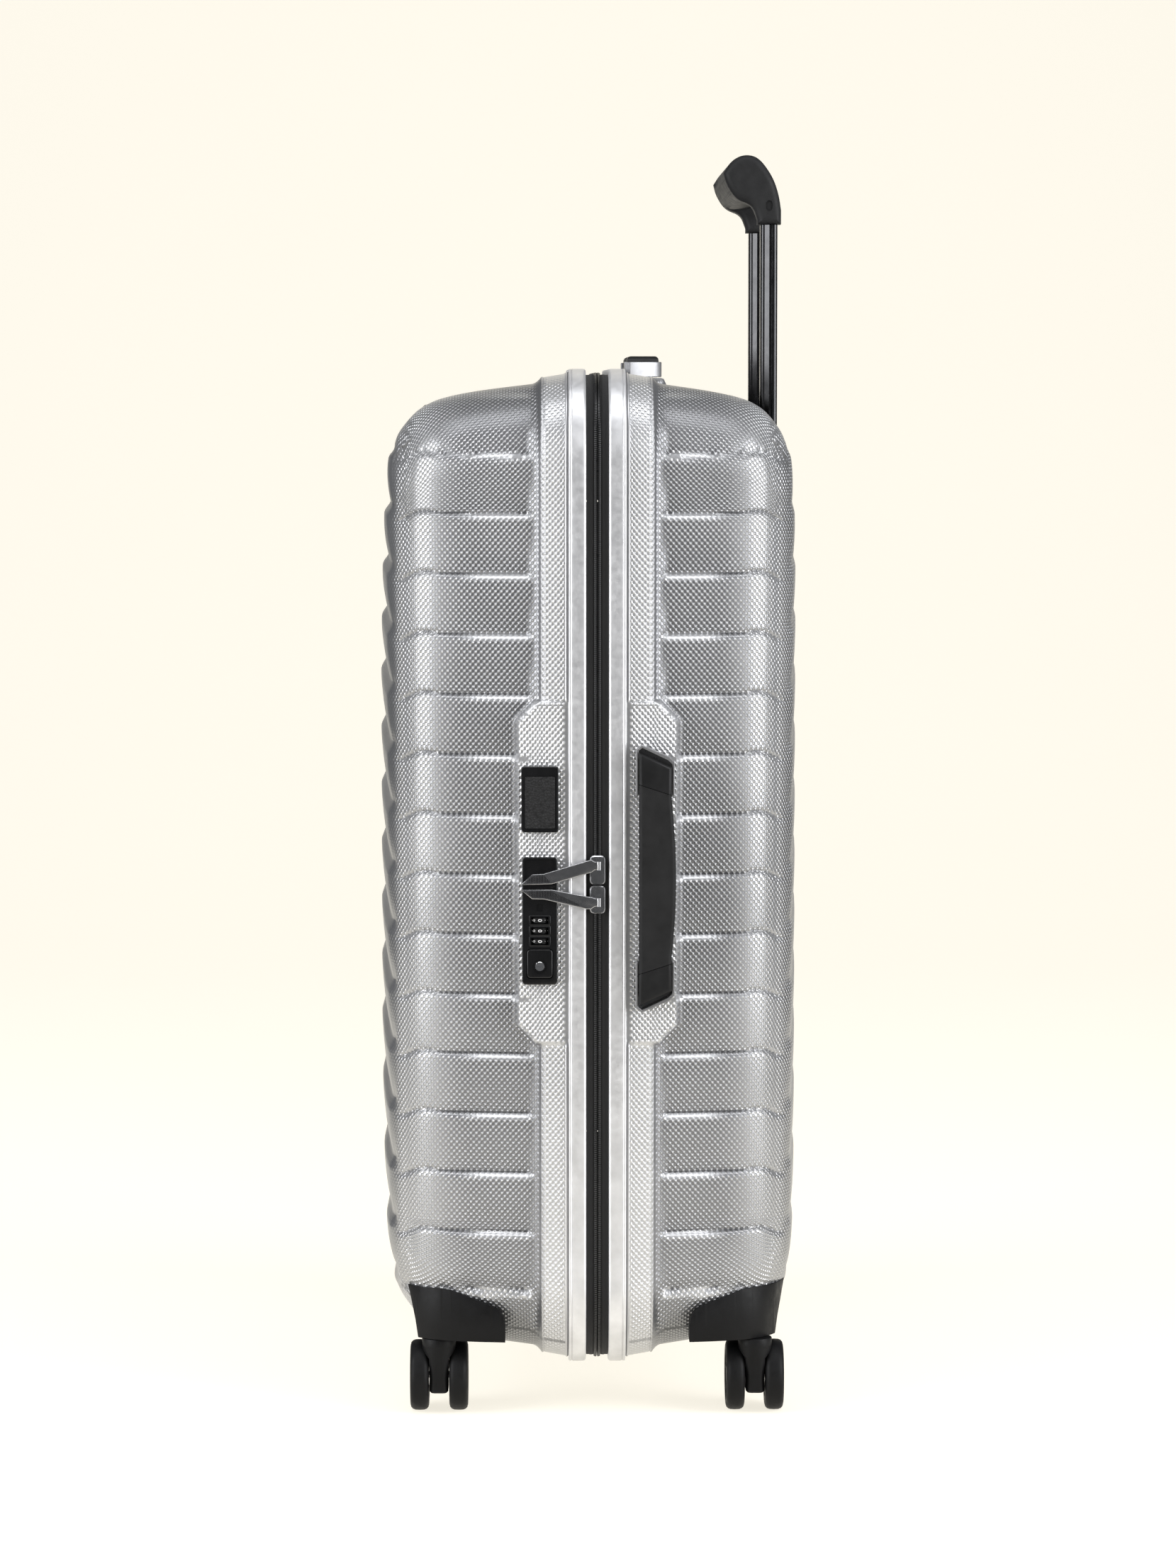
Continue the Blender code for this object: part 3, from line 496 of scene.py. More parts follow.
def plastic_look(name, colour, roughness, grain=1100.0, depth=0.00005, coat=0.0, shine=0.13):
    """Moulded plastic: a fine spark-eroded grain with slight patches of wear."""
    look = Look(name, colour, roughness, 0.0, Coat_Weight=coat, Specular_IOR_Level=shine)
    worn = look.noise(45.0, 5.0)
    look.colour(look.span(worn, 0.35, 0.75, 0.0, 1.0), tuple(c * 0.85 for c in colour),
                tuple(c * 1.3 for c in colour))
    look.rough(look.noise(180.0, 3.0), roughness * 0.86, min(roughness * 1.2, 1.0))
    look.bump((look.cells(grain), depth), (look.noise(grain * 0.7, 3.0), depth * 0.6))
    return look.material


def fabric_look(name, colour, pitch, sheen=0.4):
    """Plain-woven cloth, threads along two directions in object space."""
    look = Look(name, colour, 0.85, 0.0, Sheen_Weight=sheen, Sheen_Roughness=0.5)
    x, y, z = look.split(look.coords())
    over = look.maths("MULTIPLY", look.wave(look.maths("ADD", x, y), pitch), look.wave(z, pitch))
    threads = look.span(over, -1.0, 1.0, 0.0, 1.0)
    patch = look.noise(26.0, 4.0)
    tone = look.maths("ADD", look.maths("MULTIPLY", threads, 0.5), look.maths("MULTIPLY", patch, 0.5))
    look.colour(tone, tuple(c * 0.6 for c in colour), tuple(c * 1.4 + 0.003 for c in colour))
    look.bump((threads, pitch * 0.16), (look.noise(2400.0, 2.0), 0.00004))
    return look.material


def leather_look(name, colour, scale=520.0):
    """Pebbled grain over a dark moulded inlay."""
    look = Look(name, colour, 0.5, 0.0, Specular_IOR_Level=0.2)
    pebbles = look.span(look.cells(scale), 0.0, 0.28, 0.0, 1.0)
    look.colour(pebbles, tuple(c * 0.5 for c in colour), tuple(c * 1.6 for c in colour))
    look.rough(look.noise(300.0, 2.0), 0.42, 0.6)
    look.bump((pebbles, 0.00025))
    return look.material


LOOKS = {
    "shell_silver": shell_look("shell_silver_film"),
    "rim_silver": satin_look("rim_silver_satin", (0.66, 0.66, 0.67), 0.4, 0.72),
    "zip_black": fabric_look("zip_black_weave", (0.006, 0.006, 0.0063), 0.0009, 0.08),
    "black_plastic": plastic_look("black_plastic_moulded", (0.005, 0.005, 0.0053), 0.44),
    "gloss_black": plastic_look("gloss_black_moulded", (0.0045, 0.0045, 0.0048), 0.2, 600.0, 0.000008,
                                0.12, 0.4),
    "grip_black": plastic_look("grip_black_soft", (0.013, 0.013, 0.0133), 0.55, 1600.0, 0.00005),
    "dark_chrome": satin_look("dark_chrome_plated", (0.4, 0.4, 0.41), 0.2, 1.0),
    "chrome": satin_look("chrome_plated", (0.72, 0.72, 0.73), 0.1, 1.0),
    "wheel_tread": plastic_look("wheel_tread_rubber", (0.0055, 0.0055, 0.0058), 0.5, 900.0, 0.00004),
    "steel": satin_look("steel_drawn", (0.5, 0.5, 0.51), 0.28, 1.0),
    "lining_grey": fabric_look("lining_grey_cloth", (0.085, 0.085, 0.095), 0.0011, 0.3),
    "mesh_black": fabric_look("mesh_black_net", (0.018, 0.018, 0.019), 0.0022, 0.2),
    "strap_black": fabric_look("strap_black_webbing", (0.014, 0.014, 0.015), 0.0016, 0.3),
}
BRACKET_LOOK = satin_look("bracket_gunmetal", (0.24, 0.24, 0.245), 0.3, 0.6)
TUBE_LOOK = satin_look("tube_anodised", (0.045, 0.045, 0.046), 0.24, 1.0)
CAP_LOOK = plastic_look("grip_end_plastic", (0.012, 0.012, 0.0123), 0.36, 900.0, 0.00002)
SOFT_LOOK = plastic_look("trolley_grip_satin", (0.017, 0.017, 0.0173), 0.5, 1300.0, 0.00005)
DIGIT_LOOK = plastic_look("dial_digit_paint", (0.7, 0.7, 0.7), 0.5)
INLAY_LOOK = leather_look("badge_inlay_grain", (0.011, 0.011, 0.0115))


def paint(made, slot, look=None):
    """Gives a piece its material, the one for its slot unless a look is given."""
    made.data.materials.clear()
    made.data.materials.append(look or LOOKS[slot])
    return made


def finish_piece(made, slot, body, *nodes, look=None):
    """Paints a piece, makes it ride on its body and lets it stand for its CAD nodes."""
    paint(made, slot, look)
    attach(made, body)
    if nodes:
        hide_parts(*nodes)
    return made


# ---------------------------------------------------------------- shells

CORNER_STEPS = 26
SIDE_STEPS = 430
TOP_STEPS = 150
SIDE_COUNT = SIDE_STEPS + CORNER_STEPS
TOP_COUNT = TOP_STEPS + CORNER_STEPS
ALIGNED_Z = 0.25


def ring_points(inset, side_steps=SIDE_STEPS, top_steps=TOP_STEPS, corner_steps=CORNER_STEPS):
    """(y, z) round the outline from the middle of the near bottom corner, up the near side first."""
    radius = max(CORNER_R - 0.35 * inset, 0.02)
    half_w, half_h = HALF_W - inset, HALF_H - inset
    straight_w, straight_h = half_w - radius, half_h - radius
    half_corner = corner_steps // 2

    def arc(turn, su, sv):
        return (su * straight_w + radius * math.cos(turn), sv * straight_h + radius * math.sin(turn))

    aligned = min(ALIGNED_Z, straight_h * 0.93)
    keep = ALIGNED_Z / (HALF_H - CORNER_R)
    rises = []
    for k in range(1, side_steps):
        t = -1 + 2 * k / side_steps
        if abs(t) <= keep:
            rises.append(aligned * t / keep)
        else:
            rises.append(math.copysign(aligned + (abs(t) - keep) / (1 - keep) * (straight_h - aligned), t))
    points = []
    quarter = math.pi / 4
    steps = [k / half_corner for k in range(half_corner + 1)]
    points += [arc(math.pi * 1.25 - quarter * k, -1, -1) for k in steps]
    points += [(-half_w, rise) for rise in rises]
    points += [arc(math.pi - quarter * k, -1, 1) for k in steps]
    points += [arc(math.pi * 0.75 - quarter * k, -1, 1) for k in steps[1:]]
    points += [(straight_w * (-1 + 2 * k / top_steps), half_h) for k in range(1, top_steps)]
    points += [arc(math.pi * 0.5 - quarter * k, 1, 1) for k in steps]
    points += [arc(math.pi * 0.25 - quarter * k, 1, 1) for k in steps[1:]]
    points += [(half_w, -rise) for rise in rises]
    points += [arc(-quarter * k, 1, -1) for k in steps]
    points += [arc(-quarter - quarter * k, 1, -1) for k in steps[1:]]
    points += [(-straight_w * (-1 + 2 * k / top_steps), -half_h) for k in range(1, top_steps)]
    points += [arc(-math.pi * 0.5 - quarter * k, -1, -1) for k in steps[:-1]]
    return np.array(points)


def inset_at(y, z, low=0.0, high=0.247):
    """The inset of the outline that passes through each point of the seam plane."""
    low = np.full(y.shape, low)
    high = np.full(y.shape, high)
    for _ in range(32):
        middle = (low + high) / 2
        radius = np.maximum(CORNER_R - 0.35 * middle, 0.02)
        du = np.abs(y) - (HALF_W - middle - radius)
        dv = np.abs(z) - (HALF_H - middle - radius)
        outside = np.hypot(np.maximum(du, 0), np.maximum(dv, 0)) + np.minimum(np.maximum(du, dv), 0) - radius
        inside = outside < 0
        low = np.where(inside, middle, low)
        high = np.where(inside, high, middle)
    return (low + high) / 2


def curve_through(xs, ys):
    """A monotone cubic through points, as a function."""
    xs, ys = np.array(xs), np.array(ys)
    h = np.diff(xs)
    slope = np.diff(ys) / h
    tangent = np.zeros(len(xs))
    tangent[0], tangent[-1] = slope[0], slope[-1]
    for i in range(1, len(xs) - 1):
        if slope[i - 1] * slope[i] > 0:
            tangent[i] = 2 * slope[i - 1] * slope[i] / (slope[i - 1] + slope[i])

    def value(x):
        i = np.clip(np.searchsorted(xs, x) - 1, 0, len(h) - 1)
        t = np.clip((x - xs[i]) / h[i], 0, 1)
        a, b = ys[i], ys[i + 1]
        return (
            a * (1 + 2 * t) * (1 - t) ** 2 + tangent[i] * h[i] * t * (1 - t) ** 2
            + b * t * t * (3 - 2 * t) + tangent[i + 1] * h[i] * t * t * (t - 1)
        )

    return value


def wall_sections(depth):
    """(distance, inset) down the wall, from the mouth to the edge of the face, about 2 mm apart."""
    shoulder = SHOULDER[:5]
    wall = curve_through([0.046] + [p * depth for p, _ in shoulder], [0.0105] + [e for _, e in shoulder])
    sections = [(0.0105, 0.0025), (0.0196, 0.0027), (0.0204, 0.0031), (0.0207, 0.0036), (0.021, 0.0031),
                (0.0215, 0.0027), (0.0222, 0.0027), (0.0227, 0.0034)]
    sections += [(d, 0.0028 + (d - 0.0205) * 0.162 + 0.0003) for d in np.linspace(0.0232, 0.0376, 9)]
    sections += [(0.0382, 0.0062), (0.0386, 0.0058), (0.0392, 0.0056), (0.0399, 0.0058), (0.0404, 0.0066),
                 (0.0412, 0.0075), (0.0424, 0.0087), (0.044, 0.0099), (0.046, 0.0107)]
    d = 0.048
    end = SHOULDER[4][0] * depth
    while d < end - 0.001:
        sections.append((d, float(wall(np.array(d))) + 0.0002))
        slope = abs(float(wall(np.array(d + 0.0005))) - float(wall(np.array(d)))) / 0.0005
        d += 0.002 / math.sqrt(1 + slope * slope)
    sections.append((end, SHOULDER[4][1]))
    return sections


def rib_depth(rise, width=RIB_LEDGE):
    """How far in the surface lies at each height, from 0 at a rib's crest to 1 at its groove."""
    phase = rib_phase(rise)
    ledge = 1 - smooth(phase, 0.0, width)
    fall = np.clip((phase - width) / (1 - width), 0, 1) ** 2.0
    return np.maximum(ledge, fall)


def rib_phase(rise):
    """Where in its rib each height lies, from 0 at the top to 1 at the bottom."""
    phase = (RIB_START - rise) / RIB_PITCH
    return phase - np.floor(phase)


def face_edges(count):
    """Indices along the four edges of the face: near, top, far and bottom, each from its low end."""
    near = np.arange(SIDE_COUNT + 1)
    top = SIDE_COUNT + np.arange(TOP_COUNT + 1)
    far = (SIDE_COUNT + TOP_COUNT + np.arange(SIDE_COUNT + 1))[::-1]
    bottom = np.concatenate([np.arange(2 * SIDE_COUNT + TOP_COUNT, count), [0]])[::-1]
    return near, top, far, bottom


def face_fill(edge):
    """Points inside the face, blended from its four edges."""
    near, top, far, bottom = (edge[i] for i in face_edges(len(edge)))
    p = np.linspace(0, 1, SIDE_COUNT + 1)[:, None, None]
    q = np.linspace(0, 1, TOP_COUNT + 1)[None, :, None]
    sides = (1 - q) * near[:, None, :] + q * far[:, None, :] + (1 - p) * bottom[None, :, :]
    sides = sides + p * top[None, :, :]
    corners = (1 - p) * (1 - q) * near[0] + (1 - p) * q * far[0] + p * (1 - q) * near[-1] + p * q * far[-1]
    return (sides - corners)[1:-1, 1:-1].reshape(-1, 2)


def face_share(inset, depth):
    """How much of the surface's normal points along X, at each inset."""
    slope = curve_through([0.0] + [e for _, e in BAND[:1]] + [e for _, e in SHOULDER],
                          [0.0, 0.0105 / depth] + [f for f, _ in SHOULDER])
    step = 0.001
    ahead, behind = (slope(np.clip(inset + shift, 0, 0.2249)) for shift in (step, -step))
    steep = (ahead - behind) * depth / (2 * step)
    return np.where(inset < 0.0105, 0.0, 1 / np.sqrt(1 + steep * steep))


def side_share(du, dv, z, inset):
    """1 on the two long sides, falling to 0 round the corners."""
    length = np.maximum(np.hypot(du, dv), 1e-6)
    flat_top = (np.abs(z) > HALF_H - inset - 0.0002) & (dv > 0)
    across = np.where(flat_top & (du < 1e-6), 0.0, np.where(du > 1e-6, du / length, 1.0))
    return smooth(np.where(dv < 1e-6, 1.0, across), 0.25, 0.85)


def rib_relief(side, depth, z, d, inset, on_sides):
    """How far in each point lies, and how much it belongs to the ledge over a side rib, which the shell's
    colour paints lighter as a painted highlight.
    """
    share = d / depth
    on_face = smooth(inset, 0.046, 0.06)
    level = 1 - smooth(np.abs(z), HALF_H - 0.066, HALF_H - 0.04)
    on_side_rib = on_sides * smooth(d, 0.045, 0.05) * (1 - smooth(share, 0.865, 0.915))
    side_relief = SIDE_RELIEF + (SHOULDER_RELIEF - SIDE_RELIEF) * smooth(share, 0.48, 0.74)
    hump = 0.0012 * np.exp(-((share - 0.76) / 0.05) ** 2) - 0.007 * smooth(share, 0.8, 0.915)
    side_rise = z + MID_Z - hump
    face_rise = z + MID_Z - FACE_RISE - 0.012 * smooth(inset, 0.05, 0.22)
    shoulder = smooth(share, 0.5, 0.66)
    phase = rib_phase(side_rise)
    off_groove = np.minimum(phase, 1 - phase) * RIB_PITCH
    groove = (0.0008 + 0.0009 * shoulder) * np.exp(-(off_groove / 0.0009) ** 2)
    inward = on_side_rib * (side_relief * rib_depth(side_rise) + groove)
    inward += on_face * level * FACE_RELIEF[side] * rib_depth(face_rise, FACE_LEDGE)
    ledges = on_side_rib * (1 - smooth(phase, RIB_LEDGE, RIB_LEDGE + 0.05)) * (1 - shoulder)
    return inward, ledges, on_face


def pad_shape(y, z, d, in_wall):
    """Where the flat pad on the near side lies, and the bead round its edge."""
    low, high = PAD_Z[0] - MID_Z, PAD_Z[1] - MID_Z
    centre, half = (low + high) / 2, (high - low) / 2
    off_centre = np.abs(z - centre) - half
    beyond = np.maximum(d - PAD_D, off_centre - PAD_CHAMFER)
    beyond = np.maximum(beyond, (off_centre + d - PAD_D) / math.sqrt(2))
    on_side = (y < 0) & (np.abs(z) < HALF_H - 0.08) & in_wall & (d > 0.0206)
    pad = np.where(on_side, 1 - smooth(beyond, -0.0012, 0.0016), 0.0)
    bead = np.where(on_side, np.exp(-((beyond + 0.0022) / 0.0007) ** 2), 0.0)
    return pad, bead


def strip_faces(a, b, count):
    """Faces between two rings of points that start at a and b."""
    return [(a + i, a + (i + 1) % count, b + (i + 1) % count, b + i) for i in range(count)]


def shell(name, side, depth):
    """A moulded half shell: ribbed outside, plain inside, closed all round."""
    sections = wall_sections(depth)
    rings = np.array([ring_points(inset) for _, inset in sections])
    rows, count = rings.shape[:2]
    steps = np.hypot(*(rings[0] - np.roll(rings[0], 1, axis=0)).T)
    steps[0] = 0
    lengths = [math.hypot(b[0] - a[0], b[1] - a[1]) for a, b in zip(sections, sections[1:])]
    down = np.concatenate([[0], np.cumsum(lengths)])
    inside = face_fill(rings[-1])
    crown = curve_through([e for _, e in SHOULDER[3:]] + [0.2475], [f for f, _ in SHOULDER[3:]] + [1.0])

    # Every outer point, those of the wall first: across, up, distance from the seam and inset
    y = np.concatenate([rings[:, :, 0].ravel(), inside[:, 0]])
    z = np.concatenate([rings[:, :, 1].ravel(), inside[:, 1]])
    in_face = crown(inset_at(inside[:, 0], inside[:, 1])) * depth
    d = np.concatenate([np.repeat([distance for distance, _ in sections], count), in_face])
    inset = inset_at(y, z)
    in_wall = np.arange(len(y)) < rows * count

    # Two frames for the lattice of dots: down and round the wall, and straight over the face
    edge_down = down[-1]
    edge_inset = SHOULDER[4][1]
    wall_u = np.concatenate([np.repeat(down, count), np.full(len(inside), edge_down)])
    wall_v = np.concatenate([np.tile(np.cumsum(steps), rows) - HALF_H, np.zeros(len(inside))])
    on_near = (np.abs(y) - HALF_W > np.abs(z) - HALF_H) & in_wall
    mirrored = 2 * (HALF_W - edge_inset + edge_down) - wall_u
    face_u = np.where(on_near, np.where(y < 0, wall_u, mirrored), y + HALF_W - edge_inset + edge_down)
    face_v = np.where(~on_near & in_wall, np.sign(z) * (HALF_H - edge_inset + edge_down - wall_u), z)

    # The direction that the surface faces decides which way the ribs are cut
    facing = face_share(inset, depth)
    radius = np.maximum(CORNER_R - 0.35 * inset, 0.02)
    du = np.maximum(np.abs(y) - (HALF_W - inset - radius), 0)
    dv = np.maximum(np.abs(z) - (HALF_H - inset - radius), 0)
    inward, ledges, on_face = rib_relief(side, depth, z, d, inset, side_share(du, dv, z, inset))
    pad, bead = pad_shape(y, z, d, in_wall)
    normal_y = -np.sign(y) * across_share(du, dv, y, z, inset)
    normal_z = -np.sign(z) * np.sqrt(np.clip(1 - normal_y * normal_y, 0, 1))
    in_yz = np.sqrt(np.clip(1 - facing * facing, 0, 1))
    x = d - facing * inward
    pad_y = -(HALF_W - (PAD_INSET + 0.0006 - 0.0005 * bead))
    moved_y = (y + normal_y * in_yz * inward) * (1 - pad) + pad_y * pad
    moved_z = z + normal_z * in_yz * inward
    if side == BACK:
        beyond = np.maximum(np.abs(y) - SEAT_HALF_Y, d - SEAT_D)
        on_top = (z > HALF_H - 0.03) & in_wall & (d > 0.0206)
        seat = np.where(on_top, 1 - smooth(beyond, -0.0006, 0.0016), 0.0)
        moved_z = moved_z * (1 - seat) + (HALF_H - SEAT_INSET - 0.0003) * seat
        pad = np.maximum(pad, seat)
    vertices = np.stack([SEAM_X + side * x, MID_Y + moved_y, MID_Z + moved_z], -1)

    faces = []
    for k in range(rows - 1):
        faces += strip_faces(k * count, (k + 1) * count, count)
    grid = np.zeros((SIDE_COUNT + 1, TOP_COUNT + 1), int)
    near, top, far, bottom = ((rows - 1) * count + edge for edge in face_edges(count))
    grid[:, 0], grid[-1, :], grid[:, -1], grid[0, :] = near, top, far, bottom
    grid[1:-1, 1:-1] = rows * count + np.arange(len(inside)).reshape(SIDE_COUNT - 1, TOP_COUNT - 1)
    quads = np.stack([grid[:-1, :-1], grid[:-1, 1:], grid[1:, 1:], grid[1:, :-1]], -1).reshape(-1, 4)
    faces += [tuple(int(v) for v in quad) for quad in quads]

    start = len(vertices)
    inner_sections = [(0.0105, 0.0055), (0.04, 0.009), (0.048, 0.0152)]
    inner_sections += [(part * depth - 0.0035, e + 0.0042) for part, e in SHOULDER[:3]]
    inner_sections += [(part * depth - 0.006, e + 0.0015) for part, e in SHOULDER[3:7]]
    for distance, e in inner_sections:
        ring = ring_points(e)
        x_here = np.full((count, 1), SEAM_X + side * distance)
        vertices = np.concatenate([vertices, np.hstack([x_here, ring + np.array([MID_Y, MID_Z])])])
    faces += strip_faces(0, start, count)
    last = start + (len(inner_sections) - 1) * count
    for first in range(start, last, count):
        faces += strip_faces(first, first + count, count)
    faces.append(tuple(last + i for i in range(count)))
    made = object_from(name, vertices, faces, 50)

    # The dots fade out at edges, beads and ledges; pale is a painted highlight, lighter colour on the ledges,
    # the pads, the band by the rim and a gradient over the outer shoulders
    edge = 4 * pad * (1 - pad) + bead + np.exp(-((d - 0.0412) / 0.0026) ** 2) * (1 - pad) * (inset < 0.02)
    plain = (1 - np.clip(edge, 0, 1)) * smooth(d, 0.0225, 0.0245)
    fade = 1 - 0.75 * smooth(np.abs(moved_z), HALF_H - 0.02, HALF_H - 0.008) * (1 - on_face)
    strength = plain * fade * (1 - 0.85 * ledges) * (1 - 0.8 * smooth(inset, 0.04, 0.055) * (side == FRONT))
    # Painted highlight: lighter colour on the band by the rim, the pads, the rib ledges and, fading in, the
    # outer shoulders.
    pale = np.maximum(np.maximum(1 - smooth(d, 0.0385, 0.0405), pad), ledges)
    pale = np.maximum(pale, 0.45 * smooth(d / depth, 0.55, 0.8) * (1 - smooth(inset, 0.04, 0.056)))
    nothing = np.zeros(len(y))
    # place carries the wall-to-face blend, the dot strength (bump, and painted shade between the dots) and
    # the painted highlight.
    for key, columns in (
        ("wall_grid", (wall_u, wall_v, nothing)),
        ("face_grid", (face_u, face_v, nothing)),
        ("place", (smooth(d, 0.8 * depth, 0.9 * depth), strength, pale)),
    ):
        data = np.concatenate([np.stack(columns, -1), np.zeros((len(vertices) - start, 3))])
        attribute = made.data.attributes.new(key, "FLOAT_VECTOR", "POINT")
        attribute.data.foreach_set("vector", data.astype(np.float32).ravel())
    return made


def across_share(du, dv, y, z, inset):
    """How much of the outline's normal points across, at each point."""
    length = np.hypot(du, dv)
    corner = (du > 1e-6) & (dv > 1e-6)
    on_side = (HALF_W - np.abs(y)) - inset < (HALF_H - np.abs(z)) - inset
    share = np.where(corner, du / np.maximum(length, 1e-6), np.where(on_side, 1.0, 0.0))
    return share


def solid_space(name, depth, side, grow=0.0):
    """The whole space inside a shell's outer surface."""
    pairs = BAND + [(part * depth, e) for part, e in SHOULDER]
    loops = []
    for d, e in pairs:
        ring = ring_points(e - grow, 40, 20, 12)
        loops.append(([(MID_Y + u, MID_Z + v) for u, v in ring], seam_x(d, side)))
    return stack(name, loops, "X")


def cut_shell(made, depth, side):
    """Wheel wells in both shells, with the trolley's opening or the lock's hole."""
    for direction in (-1, 1):
        x, y = seam_x(CASTER_D, side), MID_Y + direction * CASTER_Y
        roof = rod("roof", WELL_R + WALL, 0.0, MOUNT_Z + WALL, "Z", (x, y), 64)
        keep_inside(roof, solid_space("space", depth, side, -0.0012))
        add(made, roof)
        cut(made, rod("well", WELL_R, -0.01, MOUNT_Z, "Z", (x, y), 64))
    if side == BACK:
        low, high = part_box("trolley_cup")
        cut(made, box("opening", (low.x - GAP, low.y - GAP, low.z - GAP),
                          (high.x + 0.1, high.y + GAP, high.z + 0.1)))
    else:
        low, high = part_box("lock_body")
        x = (low.x + high.x) / 2
        cut(made, box("hole", (x - 0.0108, low.y - 0.01, low.z + 0.0021),
                          (x + 0.0108, high.y + 0.01, high.z - 0.0147)))
    shade(made, 50)
    return made


for half, side, depth in (("front", FRONT, FRONT_DEPTH), ("back", BACK, BACK_DEPTH)):
    moulded = cut_shell(shell(f"{half}_shell_moulded", side, depth), depth, side)
    finish_piece(moulded, "shell_silver", f"{half}_case", f"{half}_shell")

# ---------------------------------------------------------------- rims, zip and hinge web


def swept(name, section, side, angle=35, steps=(200, 120, 36)):
    """A closed ring round the case with a (distance, inset) section."""
    loops = []
    for d, e in section:
        loops.append(([(MID_Y + u, MID_Z + v) for u, v in ring_points(e, *steps)], seam_x(d, side)))
    return stack(name, loops, "X", angle, closed=True)


def rim(name, side, body, node):
    """A satin strip with rolled edges and a raised lip along the shell."""
    section = [
        (0.008, 0.009), (0.008, 0.0016), (0.00815, 0.001), (0.0086, 0.0005), (0.0093, 0.00015),
        (0.0102, 0.0),
        (0.017, 0.0), (0.0176, 0.0001), (0.0179, 0.00045), (0.0182, 0.0005), (0.0185, 0.00035),
        (0.0188, 0.0001), (0.0196, 0.0001), (0.0202, 0.0004), (0.0205, 0.001), (0.0205, 0.0022),
        (0.0102, 0.0022), (0.0102, 0.009),
    ]
    finish_piece(swept(name, section, side), "rim_silver", body, node)


def open_sweep(section, side, z_low, z_high):
    """Vertices and faces of a section swept round, left open on the far side between two heights."""
    rings = []
    keep = None
    for d, e in section:
        ring = ring_points(e, 300, 180, 36)
        if keep is None:
            gone = (ring[:, 0] > 0.2) & (ring[:, 1] + MID_Z > z_low) & (ring[:, 1] + MID_Z < z_high)
            first = int(np.flatnonzero(gone)[-1]) + 1
            keep = [(first + i) % len(ring) for i in range(len(ring) - int(gone.sum()))]
        rings.append([(seam_x(d, side), MID_Y + ring[i, 0], MID_Z + ring[i, 1]) for i in keep])
    count, n = len(section), len(keep)
    vertices = [ring[i] for i in range(n) for ring in rings]
    faces = []
    for i in range(n - 1):
        for k in range(count):
            m = (k + 1) % count
            faces.append((i * count + k, i * count + m, (i + 1) * count + m, (i + 1) * count + k))
    faces.append(tuple(range(count)))
    faces.append(tuple((n - 1) * count + k for k in range(count))[::-1])
    return vertices, faces


def zip_half(name, side, body, node, web):
    """Half of the zip: woven tape, a stitched cord edge, and the coil's teeth along the seam."""
    z_low, z_high = web[0].z - GAP, web[1].z + GAP
    tape = [
        (0.0003, 0.0043), (0.003, 0.0043), (0.0034, 0.0041), (0.0052, 0.0041), (0.0056, 0.0043),
        (0.0077, 0.0043), (0.0077, 0.0054), (0.0003, 0.0054),
    ]
    vertices, faces = open_sweep(tape, side, z_low, z_high)
    finish_piece(object_from(name, vertices, faces), "zip_black", body, node)
    ring = ring_points(0.0035, 300, 180, 36)
    closed = np.vstack([ring, ring[:1]])
    lengths = np.hypot(*np.diff(closed, axis=0).T)
    total = np.concatenate([[0], np.cumsum(lengths)])
    pitch = 0.0014
    count = int(total[-1] / pitch)
    at = (np.arange(count) + (0.5 if side == BACK else 0.0)) * total[-1] / count
    y = np.interp(at, total, closed[:, 0])
    z = np.interp(at, total, closed[:, 1])
    ahead = at + 0.0005
    ty = np.interp(ahead, total, closed[:, 0]) - y
    tz = np.interp(ahead, total, closed[:, 1]) - z
    size = np.hypot(ty, tz)
    ty, tz = ty / size, tz / size
    clear = ~((y > 0.2) & (z + MID_Z > z_low - 0.001) & (z + MID_Z < z_high + 0.001))
    section = [
        (0.0002, 0.0001), (0.0004, 0.0007), (0.001, 0.00085), (0.0019, 0.0006), (0.0024, 0.0001),
        (0.0024, -0.0006), (0.0002, -0.0006),
    ]
    vertices, faces = [], []
    half = 0.00042
    for k in np.flatnonzero(clear):
        start = len(vertices)
        for shift in (-half, half):
            for d, lift in section:
                oy = y[k] + ty[k] * shift - tz[k] * lift
                oz = z[k] + tz[k] * shift + ty[k] * lift
                vertices.append((seam_x(d, side), MID_Y + oy, MID_Z + oz))
        n = len(section)
        faces += [(start + i, start + (i + 1) % n, start + n + (i + 1) % n, start + n + i) for i in range(n)]
        faces.append(tuple(start + i for i in range(n))[::-1])
        faces.append(tuple(start + n + i for i in range(n)))
    finish_piece(object_from(f"{name}_coil", vertices, faces, 50), "zip_black", body, look=COIL_LOOK)


def hinge_strip():
    """Heavy woven fabric that joins the halves on the far side."""
    low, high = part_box("hinge_web")
    columns = np.linspace(-WEB_HALF, WEB_HALF, 25)
    rows = np.linspace(low.z, high.z, 120)
    outer = MID_Y + HALF_W - 0.0043
    vertices, faces = [], []
    for y in (outer, outer - 0.0011):
        vertices += [(SEAM_X + x, y + 0.00015 * math.sin(z * 260) * math.cos(x * 300),
                      z) for z in rows for x in columns]
    n, m = len(columns), len(rows)
    layer = n * m
    for r in range(m - 1):
        for c in range(n - 1):
            a = r * n + c
            faces.append((a, a + 1, a + n + 1, a + n))
            faces.append((layer + a, layer + a + n, layer + a + n + 1, layer + a + 1))
    for r in range(m - 1):
        for c in (0, n - 1):
            a = r * n + c
            faces.append((a, a + n, layer + a + n, layer + a))
    for c in range(n - 1):
        for r in (0, m - 1):
            a = r * n + c
            faces.append((a, a + 1, layer + a + 1, layer + a))
    made = paint(object_from("hinge_web_cloth", vertices, faces), "zip_black")
    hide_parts("hinge_web")
    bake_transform(made)


